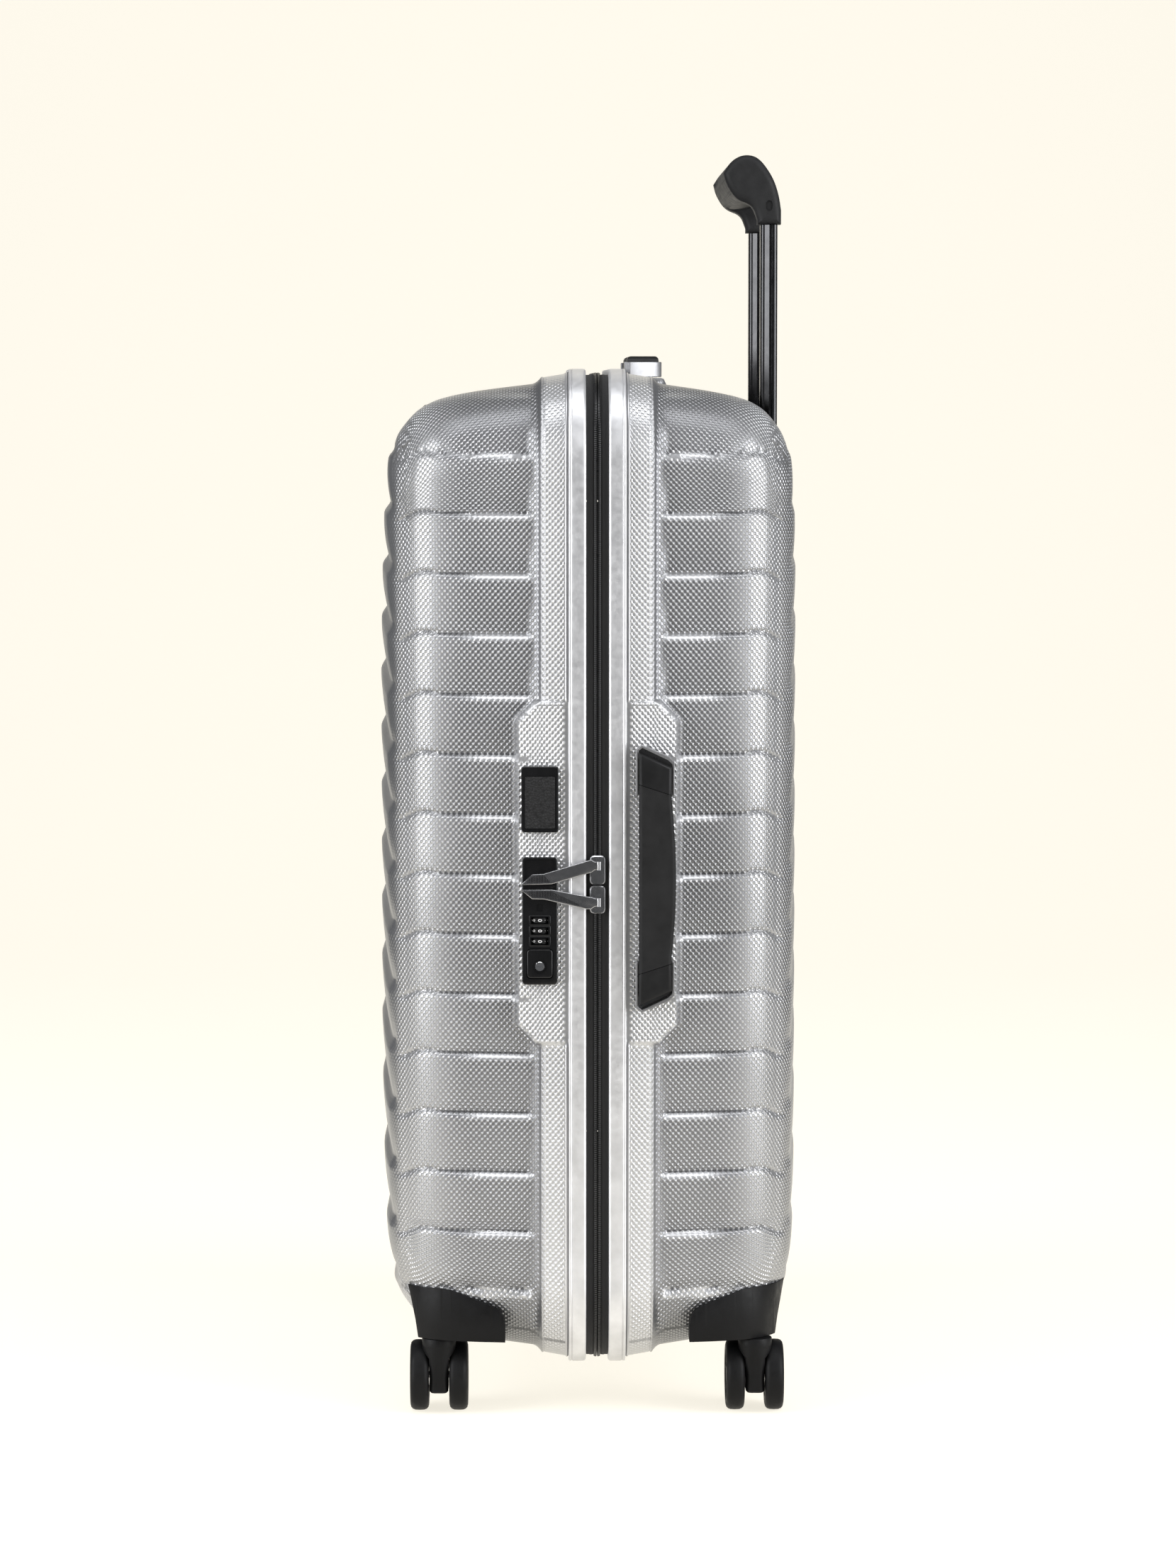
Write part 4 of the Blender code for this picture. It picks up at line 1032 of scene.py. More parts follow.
COIL_LOOK = plastic_look("zip_coil_nylon", (0.018, 0.018, 0.0185), 0.3, 1500.0, 0.00002, shine=0.5)
web_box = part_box("hinge_web")
for half, side in (("front", FRONT), ("back", BACK)):
    rim(f"{half}_rim_strip", side, f"{half}_case", f"{half}_rim")
    zip_half(f"{half}_zip_half", side, f"{half}_case", f"{half}_zip_tape", web_box)
hinge_strip()

# ---------------------------------------------------------------- carry handles


def handle_outline(low_d, high_d, centre, half, clear, bulge, tip):
    """A grip's outline: straight by the seam, bulging outwards, slanted at both ends."""
    inner_d, outer_d = low_d + clear, high_d - clear
    points = [(inner_d, centre - half + 0.0048), (outer_d, centre - half + tip)]
    for k in range(21):
        t = -1 + 2 * k / 20
        points.append((outer_d + bulge * (1 - t * t), centre + (half - 0.04) * t))
    points += [(outer_d, centre + half - tip), (inner_d, centre + half - 0.0048)]
    return points


def bracket(name, node, axis, low_d, high_d, direction, centre):
    """A plated frame round one end of a grip, with a recessed floor and rolled edges."""
    low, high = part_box(node)
    base, rise = (high.y, low.y) if axis == "Y" else (low.z, high.z)
    end = centre + direction * HANDLE_HALF
    start = end - direction * 0.036
    tip = end - direction * 0.012
    outer = [(low_d, start), (high_d, start), (high_d, tip), (high_d - 0.004, tip + direction * 0.0038),
             (low_d + 0.004, end), (low_d, end - direction * 0.0036)]
    inset = 0.0017
    inner = [
        (low_d + inset, start - direction * 0.005), (high_d - inset, start - direction * 0.005),
        (high_d - inset, tip - direction * inset), (high_d - 0.005, tip + direction * 0.0014),
        (low_d + 0.0044, end - direction * 0.0019), (low_d + inset, end - direction * 0.0042),
    ]
    sign = 1 if rise > base else -1
    outer = [(seam_x(d, BACK), v) for d, v in outer]
    inner = [(seam_x(d, BACK), v) for d, v in inner]
    block = prism(name, outer, axis, *sorted((base, rise)))
    cut(block, prism("pocket", inner, axis, *sorted((base + sign * 0.0012, rise + sign * 0.01))))
    bevelled(block, 0.0005, 3, 25)
    apply_modifiers(block)
    finish_piece(block, "dark_chrome", "back_case", node, look=BRACKET_LOOK)


def grip(name, node, axis, low_d, high_d, centre, bulge, body):
    """A soft grip with a rounded section, a moulded seam and an end cap at each end."""
    low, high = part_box(node)
    base, rise = sorted((high.y, low.y)) if axis == "Y" else (low.z, high.z)
    points = handle_outline(low_d, high_d, centre, HANDLE_HALF, 0.0021, bulge, HANDLE_TIP)
    points = [(seam_x(d, BACK), v) for d, v in points]
    whole = prism(name, points, axis, base, rise, 0.003, 7, 40)
    reach = 0.2
    for label, direction in (("low", -1), ("high", 1)):
        end = centre + direction * HANDLE_HALF
        for gap, keep in ((0.0, "INTERSECT"), (0.0004, "DIFFERENCE")):
            line = [(low_d - 0.01, end - direction * (0.0235 - gap)),
                    (high_d + 0.01, end - direction * (0.039 - gap))]
            if keep == "DIFFERENCE":
                line = [(d, v - direction * 2 * gap) for d, v in line]
            line += [(high_d + 0.01, end + direction * reach), (low_d - 0.01, end + direction * reach)]
            region = prism("region", [(seam_x(d, BACK), v) for d, v in line], axis, base - 0.01, rise + 0.01)
            if keep == "INTERSECT":
                cap = whole.copy()
                cap.data = whole.data.copy()
                cap.name = f"{name}_cap_{label}"
                bpy.context.scene.collection.objects.link(cap)
                boolean(cap, region, keep)
                shade(cap, 40)
                finish_piece(cap, "grip_black", body, look=CAP_LOOK)
            else:
                boolean(whole, region, keep)
    shade(whole, 40)
    finish_piece(whole, "grip_black", body, node)


side_low, side_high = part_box("side_handle_grip")
side_z = (side_low.z + side_high.z) / 2
for end, direction in (("lower", -1), ("upper", 1)):
    bracket(f"side_bracket_{end}", f"side_handle_bracket_{end}", "Y", *SIDE_HANDLE_D, direction, side_z)
for end, direction in (("near", -1), ("far", 1)):
    bracket(f"top_bracket_{end}", f"top_handle_bracket_{end}", "Z", *TOP_HANDLE_D, direction, MID_Y)
grip("side_grip_soft", "side_handle_grip", "Y", *SIDE_HANDLE_D, side_z, GRIP_BULGE, "side_handle")
grip("top_grip_soft", "top_handle_grip", "Z", *TOP_HANDLE_D, MID_Y, 0.0, "top_handle")

# ---------------------------------------------------------------- casters


def caster(label):
    """A fork with a tapered blade, and two wheels with rounded treads and hubs."""
    low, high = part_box(f"caster_fork_{label}")
    wheel_low, wheel_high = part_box(f"wheel_{label}_left")
    x = (low.x + high.x) / 2
    radius = (wheel_high.z - wheel_low.z) / 2
    axle_y = (wheel_low.y + wheel_high.y) / 2
    y = axle_y - 0.012
    top = high.z
    swivel = f"swivel_{label}"
    collar = rod(f"fork_{label}", STEM_R, 0.054, top, "Z", (x, y), 32)
    ring = [(0.0112, 0.0486), (0.012, 0.049), (COLLAR_R, 0.0496), (COLLAR_R, 0.0545), (0.0119, 0.0551),
            (0.0112, 0.0553)]
    add(collar, turned("ring", ring, "Z", (x, y), 64))
    upper = circle((x, y), COLLAR_R, 72)
    lower = rounded_rectangle(0.0068, 0.015, 0.0045, 17, (x, (y - 0.011 + axle_y + 0.008) / 2))
    shift = min(range(72), key=lambda i: (lower[i][0] - upper[0][0]) ** 2 + (lower[i][1] - upper[0][1]) ** 2)
    lower = lower[shift:] + lower[:shift]
    loops = []
    for t in np.linspace(0, 1, 9):
        k = float(smooth(np.array(t), 0, 1)) * 0.75 + 0.25 * t
        loops.append(([((1 - k) * a[0] + k * b[0], (1 - k) * a[1] + k * b[1]) for a, b in zip(upper, lower)],
                      0.05 - t * 0.021))
    loops += [(lower, 0.017), (grown(counter_clockwise(lower), -0.0012), 0.0158)]
    add(collar, stack("blade", loops, "Z"))
    for direction in (-1, 1):
        ends = sorted((x + direction * 0.007, x + direction * 0.03))
        cut(collar, rod("space", radius + 0.0008, ends[0], ends[1], "X", (axle_y, radius), 96))
    shade(collar, 40)
    finish_piece(collar, "black_plastic", swivel, f"caster_fork_{label}")
    for lr, direction in (("left", -1), ("right", 1)):
        near, far = 0.0073, 0.0073 + 0.0136
        section = [
            (0.003, near + 0.0006), (0.0085, near + 0.0006), (0.009, near + 0.0001), (0.0128, near),
            (0.0134, near + 0.0006), (0.016, near + 0.0006), (0.0166, near), (0.0215, near + 0.0001),
            (0.0234, near + 0.0006), (0.0247, near + 0.0018), (0.02535, near + 0.0036),
            (radius, near + 0.0068), (0.02535, far - 0.0036), (0.0247, far - 0.0018),
            (0.0234, far - 0.0006), (0.0215, far - 0.0001), (0.019, far - 0.0003), (0.0178, far - 0.0014),
            (0.012, far - 0.002), (0.01, far - 0.0014), (0.006, far - 0.001), (0.003, far - 0.001),
        ]
        loops = [(circle((axle_y, radius), r, 72), x + direction * a) for r, a in section]
        wheel = stack(f"wheel_{label}_{lr}_round", loops, "X", 28, closed=True)
        finish_piece(wheel, "wheel_tread", f"roller_{label}_{lr}", f"wheel_{label}_{lr}")
        hub = [(0.0001, far - 0.0006), (0.005, far - 0.0007), (0.0062, far - 0.0012), (0.0064, far - 0.0022)]
        cap = turned(f"hub_{label}_{lr}", [(r, x + direction * a) for r, a in hub], "X", (axle_y, radius), 48)
        finish_piece(cap, "black_plastic", f"roller_{label}_{lr}")
        spokes = []
        for k in range(6):
            turn = 2 * math.pi * k / 6 + 0.2
            c, n = math.cos(turn), math.sin(turn)
            quad = [(0.0088, -0.0009), (0.0176, -0.0006), (0.0176, 0.0006), (0.0088, 0.0009)]
            quad = [(axle_y + u * c - v * n, radius + u * n + v * c) for u, v in quad]
            ends = sorted((x + direction * (far - 0.0022), x + direction * (far - 0.0008)))
            spokes.append(prism("spoke", quad, "X", *ends, 0.0002, 2))
        ribs = joined(f"spokes_{label}_{lr}", spokes)
        shade(ribs)
        finish_piece(ribs, "wheel_tread", f"roller_{label}_{lr}")
        disc = [(0.003, near + 0.0003), (0.0075, near + 0.0001), (0.0082, near + 0.0006)]
        inner = turned(f"inner_cap_{label}_{lr}", [(r, x + direction * a) for r, a in disc], "X",
                       (axle_y, radius), 48)
        finish_piece(inner, "chrome", f"roller_{label}_{lr}")


for half in ("front", "back"):
    for end in ("near", "far"):
        caster(f"{half}_{end}")

# ---------------------------------------------------------------- corner caps


def corner_cap(half, end, side, depth):
    """A moulded cap over a bottom corner: one upright wall that is flush with the shell at its top edge."""
    direction = -1 if end == "near" else 1
    node = f"corner_cap_{half}_{end}"
    front = [
        (0.066, MOUNT_Z), (0.066, 0.068), (0.0672, 0.0742), (0.0702, 0.079), (0.077, 0.0824),
        (0.099, 0.0906),
        (0.105, 0.0926), (0.112, 0.0935), (0.1365, 0.0925), (0.1345, 0.0845), (0.131, 0.0685),
        (0.129, MOUNT_Z),
    ]
    block = prism(node + "_moulded", [(seam_x(d, side), z) for d, z in front], "Y",
                  *sorted((MID_Y + direction * (HALF_W + 0.01), MID_Y + direction * (HALF_W - 0.085))))
    plan = []
    rise = MID_Z - 0.0905
    profile = curve_through([d for d, _ in BAND] + [part * depth for part, _ in SHOULDER],
                            [e for _, e in BAND] + [e for _, e in SHOULDER])
    for d in np.linspace(0.06, 0.955 * depth, 60):
        e = float(profile(np.array(d))) - 0.0012
        radius = max(CORNER_R - 0.35 * e, 0.02)
        over = max(rise - (HALF_H - e - radius), 0.0)
        reach = HALF_W - e - radius + math.sqrt(max(radius * radius - over * over, 0.0))
        plan.append((seam_x(d, side), MID_Y + direction * reach))
    plan.append((seam_x(0.955 * depth, side), MID_Y + direction * (HALF_W - 0.086)))
    plan.append((seam_x(0.06, side), MID_Y + direction * (HALF_W - 0.086)))
    keep_inside(block, prism("plan", plan, "Z", MOUNT_Z - 0.001, 0.105))
    bevelled(block, 0.0011, 4, 40)
    apply_modifiers(block)
    cut(block, solid_space("space", depth, side, GAP))
    x, y = seam_x(CASTER_D, side), MID_Y + direction * CASTER_Y
    cut(block, rod("bore", 0.0043, MOUNT_Z - 0.01, MOUNT_Z + 0.0284, "Z", (x, y), 40))
    shade(block, 30)
    finish_piece(block, "black_plastic", f"{half}_case", node)


for half, side, depth in (("front", FRONT, FRONT_DEPTH), ("back", BACK, BACK_DEPTH)):
    for end in ("near", "far"):
        corner_cap(half, end, side, depth)

# ---------------------------------------------------------------- trolley


def trolley():
    """The grip with its rounded bar and legs, and the anodised tubes with a groove down each face."""
    bar = [(0.1185, 0.9055), (0.1075, 0.9073), (0.0985, 0.9025), (0.093, 0.8937), (0.095, 0.8855),
           (0.102, 0.8745), (0.114, 0.8745), (0.126, 0.8765), (0.129, 0.8911)]
    leg = [(0.1185, 0.9055), (0.1075, 0.9073), (0.0985, 0.9025), (0.093, 0.8937), (0.095, 0.8855),
           (0.102, 0.8745), (0.114, 0.8705), (0.1178, 0.86), (0.1178, 0.8565), (0.135, 0.8565),
           (0.135, 0.8665), (0.1335, 0.8775), (0.129, 0.8911)]
    low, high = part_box("trolley_grip")
    tube_low, tube_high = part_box("trolley_inner_tube_near")
    bar = smoothed([(seam_x(d, BACK), z) for d, z in bar], 3)
    body = prism("trolley_grip_moulded", bar, "Y", low.y + 0.008, high.y - 0.008, 0.002, 4)
    leg_width = 2 * (tube_low.y - low.y) + tube_high.y - tube_low.y
    straight = {3, 7, 8, 9, 10}
    rounded = []
    for i, point in enumerate(leg):
        if i in straight:
            rounded.append(point)
            continue
        before, after = leg[i - 1], leg[(i + 1) % len(leg)]
        for step in range(7):
            t = step / 6
            pull, push = 0.48 * (1 - t) ** 2, 0.48 * t * t
            rounded.append(tuple(
                point[k] + (before[k] - point[k]) * pull + (after[k] - point[k]) * push for k in (0, 1)
            ))
    rounded = [(seam_x(d, BACK), z) for d, z in rounded]
    for start in (low.y, high.y - leg_width):
        add(body, prism("leg", rounded, "Y", start, start + leg_width, 0.0056, 9))
    button_low, button_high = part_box("trolley_button")
    cut(body, box("pocket", (button_low.x - GAP, button_low.y - GAP, button_low.z - 0.0045),
                      (button_high.x + GAP, button_high.y + GAP, button_high.z + 0.01)))
    for y_face, direction in ((low.y, -1), (high.y, 1)):
        ends = sorted((y_face - direction * 0.001, y_face + direction * 0.01))
        oval = rounded_rectangle(0.0024, 0.0038, 0.0023, 8, (seam_x(0.1262, BACK), 0.87))
        cut(body, prism("recess", oval, "Y", *ends))
        ends = sorted((y_face - direction * 0.0034, y_face - direction * 0.0011))
        screw = rod(f"grip_screw_{'near' if direction < 0 else 'far'}", 0.0021, ends[0], ends[1], "Y",
                    (seam_x(0.1262, BACK), 0.869), 32)
        finish_piece(screw, "dark_chrome", "trolley")
    shade(body, 32)
    finish_piece(body, "black_plastic", "trolley", "trolley_grip", look=SOFT_LOOK)
    for end in ("near", "far"):
        node = f"trolley_inner_tube_{end}"
        low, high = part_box(node)
        cx, cy = (low.x + high.x) / 2, (low.y + high.y) / 2
        hx, hy = (high.x - low.x) / 2, (high.y - low.y) / 2
        points = []
        for su, sv, quarter in ((1, 1, 0), (-1, 1, 1), (-1, -1, 2), (1, -1, 3)):
            arc = [math.pi / 2 * (quarter + k / 6) for k in range(7)]
            set_back = 0.0022 if quarter == 2 else 0.0
            points += [(cx + su * (hx - 0.003) + 0.003 * math.cos(a),
                        cy + sv * (hy - 0.003 - set_back) + 0.003 * math.sin(a)) for a in arc]
            if quarter in (0, 2):
                y = cy + sv * hy
                centre = cx + 0.0012
                order = (1, -1) if quarter == 0 else (-1, 1)
                points += [(centre + order[0] * 0.0011, y), (centre + order[0] * 0.0005, y - sv * 0.0006),
                           (centre + order[1] * 0.0005, y - sv * 0.0006), (centre + order[1] * 0.0011, y)]
        tube = prism(node + "_drawn", points, "Z", low.z, high.z, 0.0, 1, 25)
        finish_piece(tube, "gloss_black", "trolley", node, look=TUBE_LOOK)


trolley()

# ---------------------------------------------------------------- lock and pullers


def lock_plate(low, high):
    """The plate and its housing, with docks for the pull tabs and a peep window."""
    x, middle = (low.x + high.x) / 2, (low.z + high.z) / 2
    face, half_w, half_h = low.y, (high.x - low.x) / 2, (high.z - low.z) / 2
    outline = rounded_rectangle(half_w, half_h, 0.003, 8, (x, middle))
    plate = prism("lock_plate", outline, "Y", face, near_y(PAD_INSET - GAP), 0.0006, 4)
    housing_low = (x - 0.0105, face + 0.001, low.z + 0.0025)
    add(plate, box("housing", housing_low, (x + 0.0105, high.y, high.z - 0.015)))
    recess = rounded_rectangle(half_w - 0.0018, 0.0125, 0.002, 6, (x, high.z - 0.0143))
    cut(plate, prism("recess", recess, "Y", face - 0.01, face + 0.0008))
    ridge = [(x - half_w + 0.003, middle + 0.0205), (x + half_w - 0.0019, middle + 0.0243),
             (x + half_w - 0.0019, middle + 0.0262), (x - half_w + 0.003, middle + 0.0224)]
    add(plate, prism("dock", ridge, "Y", face + 0.0001, face + 0.0015, 0.0002, 2))
    peep = rounded_rectangle(0.0021, 0.0026, 0.0004, 3, (x, middle + 0.0095))
    cut(plate, prism("peep", peep, "Y", face - 0.01, face + 0.0009))
    return plate


def dial(index, plate, face):
    """A ribbed dial with its ten digits, and its bezel, window and well in the plate."""
    low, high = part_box(f"lock_dial_{index}")
    x, y, z = (low.x + high.x) / 2, (low.y + high.y) / 2, (low.z + high.z) / 2
    half, radius = (high.z - low.z) / 2, (high.x - low.x) / 2
    bezel = rounded_rectangle(0.0076, half + 0.0012, 0.0008, 4, (x, z))
    add(plate, prism("bezel", bezel, "Y", face - 0.0004, face + 0.002, 0.0003, 3))
    clear = half + 0.0002
    cut(plate, box("window", (x - 0.0061, face - 0.01, z - clear), (x + 0.0061, near_y(0.004), z + clear)))
    cut(plate, rod("well", radius + GAP, z - clear, z + clear, "Z", (x, y), 48))
    skin = radius - 0.0001
    profile = [(radius - 0.0006, z - half), (skin, z - half + 0.0005), (skin, z + half - 0.0005),
               (radius - 0.0006, z + half)]
    parts = [turned(f"dial_{index}_drum", profile, "Z", (x, y), 60, 30)]
    numbers = []
    for k in range(10):
        turn = 2 * math.pi * (k + 0.5) / 10 - math.pi / 2
        spot = (x + (radius - 0.00025) * math.cos(turn), y + (radius - 0.00025) * math.sin(turn))
        parts.append(rod("ridge", 0.00024, z - half + 0.0004, z + half - 0.0004, "Z", spot, 8))
        numbers.append(digit(str(k), (x, y), skin, z, 2 * math.pi * k / 10 - math.pi / 2))
    drum = joined(f"dial_{index}_drum", parts)
    shade(drum, 30)
    finish_piece(drum, "black_plastic", f"dial_{index}", f"lock_dial_{index}")
    finish_piece(joined(f"dial_{index}_digits", numbers), "chrome", f"dial_{index}", look=DIGIT_LOOK)


def lock():
    """The lock's plate, its three dials, the dished push button and the key cylinder in it."""
    low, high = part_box("lock_body")
    face = low.y
    plate = lock_plate(low, high)
    for index in (1, 2, 3):
        dial(index, plate, face)
    low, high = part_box("lock_button")
    x, z = (low.x + high.x) / 2, (low.z + high.z) / 2
    half_w, half_h = (high.x - low.x) / 2, (high.z - low.z) / 2
    well = rounded_rectangle(half_w + GAP, half_h + GAP, 0.003, 6, (x, z))
    cut(plate, prism("well", well, "Y", face - 0.01, near_y(0.012)))
    shade(plate, 30)
    finish_piece(plate, "gloss_black", "front_case", "lock_body")
    key_low, key_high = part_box("key_cylinder")
    axis, radius = (x, (key_low.z + key_high.z) / 2), (key_high.x - key_low.x) / 2
    outline = rounded_rectangle(half_w, half_h, 0.0028, 8, (x, z))
    button = prism("lock_button_moulded", outline, "Y", low.y, high.y, 0.001, 5)
    cut(button, rod("dish", 0.0052, face - 0.01, face + 0.0006, "Y", axis, 64))
    cut(button, rod("bore", radius + GAP, face - 0.01, near_y(0.007), "Y", axis, 48))
    shade(button, 30)
    finish_piece(button, "gloss_black", "lock_push_button", "lock_button")
    profile = [(radius - 0.0004, face - 0.0001), (radius, face + 0.0003), (radius, near_y(0.0066))]
    plug = turned("key_cylinder_turned", profile, "Y", axis, 48)
    slot_low = (x - 0.0022, face - 0.01, axis[1] - 0.0004)
    cut(plug, box("slot", slot_low, (x + 0.0022, face + 0.003, axis[1] + 0.0004)))
    shade(plug, 30)
    finish_piece(plug, "chrome", "lock_cylinder", "key_cylinder")


def digit(text, centre, radius, z, turn):
    """One raised digit on a dial, turned a quarter so that it reads along the dial's rim."""
    data = bpy.data.curves.new("digit", "FONT")
    data.body = text
    data.size = 0.004
    data.extrude = 0.00006
    data.align_x = "CENTER"
    data.align_y = "CENTER"
    source = bpy.data.objects.new("digit", data)
    bpy.context.scene.collection.objects.link(source)
    bpy.context.view_layer.update()
    mesh = bpy.data.meshes.new_from_object(source.evaluated_get(bpy.context.evaluated_depsgraph_get()))
    bpy.data.objects.remove(source)
    for vertex in mesh.vertices:
        u, v, w = vertex.co
        across, up = v, -u
        reach = radius + w
        swing = across / radius
        vertex.co = (centre[0] + reach * math.cos(turn + swing),
                     centre[1] + reach * math.sin(turn + swing), z + up)
    made = bpy.data.objects.new("digit", mesh)
    bpy.context.scene.collection.objects.link(made)
    return made


def puller(node, body, tab, pivot_z):
    """A pull tab with a rolled border, a sunken lined field, and its barrel."""
    root_x = SEAM_X + PIVOT_X
    points = [(root_x + dx, pivot_z + dz) for dx, dz in tab]
    back, face = near_y(TAB_BACK), near_y(TAB_FACE)
    plate = prism(node + "_cast", points, "Y", face, back, 0.0005, 4, 30)
    inner = grown(counter_clockwise(points), -0.0011)
    inner = [(x, z) for x, z in inner if x < root_x - 0.0065]
    cut(plate, prism("field", inner, "Y", face - 0.01, face + 0.0006))
    add(plate, rod("barrel", 0.0014, pivot_z - 0.003, pivot_z + 0.003, "Z", (root_x, near_y(PIVOT_Y)), 32))
    lines = []
    us = [x for x, _ in inner]
    for k in range(int((max(us) - min(us)) / 0.0009)):
        x = min(us) + 0.0009 * (k + 0.5)
        span = crossings(inner, x)
        if span and span[1] - span[0] > 0.0012:
            low = (x - 0.0002, face + 0.00025, span[0] + 0.0002)
            lines.append(box("line", low, (x + 0.0002, face + 0.0008, span[1] - 0.0002)))
    knurl = joined(node + "_knurl", lines)
    shade(knurl, 30)
    finish_piece(knurl, "dark_chrome", body, look=TUBE_LOOK)
    shade(plate, 30)
    finish_piece(plate, "dark_chrome", body, node)


def crossings(points, x):
    """The lowest and highest crossing of a polygon at x."""
    found = []
    for a, b in zip(points, points[1:] + points[:1]):
        if (a[0] - x) * (b[0] - x) < 0:
            found.append(a[1] + (b[1] - a[1]) * (x - a[0]) / (b[0] - a[0]))
    return (min(found), max(found)) if len(found) >= 2 else None


lock()
puller("zip_puller_upper", "puller_upper", UPPER_TAB, UPPER_PIVOT_Z)
puller("zip_puller_lower", "puller_lower", LOWER_TAB, LOWER_PIVOT_Z)

# ---------------------------------------------------------------- lining, pocket and straps


def lining(half, side, depth):
    """A sewn cloth tub with soft pleats on its walls, a bound mouth and, in the front half only, piping round
    its floor.
    """
    node = f"{half}_lining"
    low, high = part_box(node)
    floor = SEAM_X - low.x if side == FRONT else high.x - SEAM_X
    wall = [(0.014, 0.0185), (0.078, 0.0205)]
    for part, e in SHOULDER[:4]:
        distance = part * depth - 0.003
        if 0.085 < distance < floor - 0.01:
            wall.append((distance, e + 0.0075))
    wall.append((floor, wall[-1][1] + 0.022))
    fine = []
    for (d0, e0), (d1, e1) in zip(wall, wall[1:]):
        steps = max(2, int(abs(d1 - d0) / 0.006))
        fine += [(d0 + (d1 - d0) * k / steps, e0 + (e1 - e0) * k / steps) for k in range(steps)]
    edge = wall[-1][1]
    floor_rings = [(floor, edge + (0.22 - edge) * k / 26) for k in range(27)]
    thick = LINING_THICK
    outer = fine + floor_rings
    inner = [(d, e + thick) for d, e in fine]
    inner += [(floor - thick, e + thick * (k == 0)) for k, (d, e) in enumerate(floor_rings)]
    loops = []
    for line in (outer, inner[::-1]):
        for d, e in line:
            ring = ring_points(e, 150, 90, 20)
            angle = np.arange(len(ring)) * 2 * math.pi / len(ring)
            on_wall = float(smooth(np.array(d), 0.018, 0.03)
                            * (1 - smooth(np.array(d), floor - 0.02, floor - 0.006)))
            pleat = on_wall * 0.0011 * (0.5 + 0.5 * np.sin(angle * 46 + 0.9 * np.sin(angle * 7)))
            size = np.array([HALF_W, HALF_H])
            ring = ring * (1 - pleat[:, None] / size)
            fold = 0.00022 * (0.5 + 0.5 * np.sin(ring[:, 0] * 60 + 2 * np.sin(ring[:, 1] * 17)))
            xs = d - (fold if d > floor - 0.004 else 0)
            loops.append((ring, xs))
    count = len(loops[0][0])
    vertices = []
    for ring, xs in loops:
        xs = np.broadcast_to(xs, (count,))
        vertices += [(seam_x(float(xs[i]), side), MID_Y + ring[i, 0],
                      MID_Z + ring[i, 1]) for i in range(count)]
    total = len(loops)
    middle = len(outer)
    faces = []
    for k in range(total):
        m = (k + 1) % total
        if k == middle - 1:
            continue
        faces += [(k * count + i, k * count + (i + 1) % count, m * count + (i + 1) % count, m * count + i)
                  for i in range(count)]
    faces.append(tuple((middle - 1) * count + i for i in range(count)))
    faces.append(tuple(middle * count + i for i in range(count)))
    cloth = object_from(node + "_cloth", vertices, faces, 60)
    for direction in (-1, 1):
        x, y = seam_x(CASTER_D, side), MID_Y + direction * CASTER_Y
        cut(cloth, rod("well", WELL_R + 0.0035, 0.0, MOUNT_Z + 0.0035, "Z", (x, y), 64))
    if side == BACK:
        cup_low, cup_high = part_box("trolley_cup")
        cut(cloth, box("opening", (cup_low.x - 0.001, cup_low.y - 0.001, cup_low.z - 0.001),
                           (cup_high.x + 0.1, cup_high.y + 0.001, cup_high.z + 0.1)))
    shade(cloth, 50)
    finish_piece(cloth, "lining_grey", f"{half}_case", node)
    binding = [(0.014, 0.0196), (0.014, 0.0204), (0.0145, 0.0208), (0.0235, 0.0209), (0.024, 0.0204),
               (0.024, 0.0196)]
    trim = finish_piece(swept(f"{half}_lining_binding", binding, side), "strap_black", f"{half}_case")
    piping = [(floor - 0.0022 + 0.0011 * math.sin(a), edge + 0.0026 + 0.0011 * math.cos(a))
              for a in np.linspace(0, 2 * math.pi, 12, endpoint=False)]
    cord = None
    if side == FRONT:
        cord = finish_piece(swept(f"{half}_lining_piping", piping, side), "strap_black", f"{half}_case")


def outline_band(name, points, width, low, high, slot, body):
    """A flat band along a closed outline."""
    band = prism(name, points, "X", low, high, 0.0003, 2)
    cut(band, prism("middle", grown(counter_clockwise(points), -width), "X", low - 0.01, high + 0.01))
    shade(band, 40)
    return finish_piece(band, slot, body)


def pocket():
    """A flat net pocket on the front lining with a bound edge and a zip across its top."""
    low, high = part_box("front_pocket")
    points = rounded_rectangle((high.y - low.y) / 2, (high.z - low.z) / 2, 0.03, 10, (MID_Y, MID_Z))
    panel = prism("front_pocket_net", points, "X", low.x + 0.0002, high.x - 0.0004, 0.0002, 2)
    finish_piece(panel, "mesh_black", "front_case", "front_pocket")
    band = outline_band("front_pocket_binding", points, 0.009, low.x + 0.0001, high.x, "strap_black",
                        "front_case")
    zip_z = high.z - 0.05
    tape_low = (high.x - 0.0006, low.y + 0.009, zip_z - 0.012)
    tape = box("front_pocket_zip_tape", tape_low, (high.x, high.y - 0.009, zip_z + 0.012), 0.0002)
    finish_piece(tape, "zip_black", "front_case")
    teeth = []
    for k in range(int((high.y - low.y - 0.03) / 0.003)):
        y = low.y + 0.015 + 0.003 * k
        lift = 0.0006 * (-1) ** k
        tooth_low = (high.x - 0.0001, y, zip_z - 0.002 + lift)
        teeth.append(box("tooth", tooth_low, (high.x + 0.0009, y + 0.0016, zip_z + 0.002 + lift), 0.0003))
    teeth = joined("front_pocket_zip_teeth", teeth)
    shade(teeth)
    finish_piece(teeth, "black_plastic", "front_case", look=COIL_LOOK)


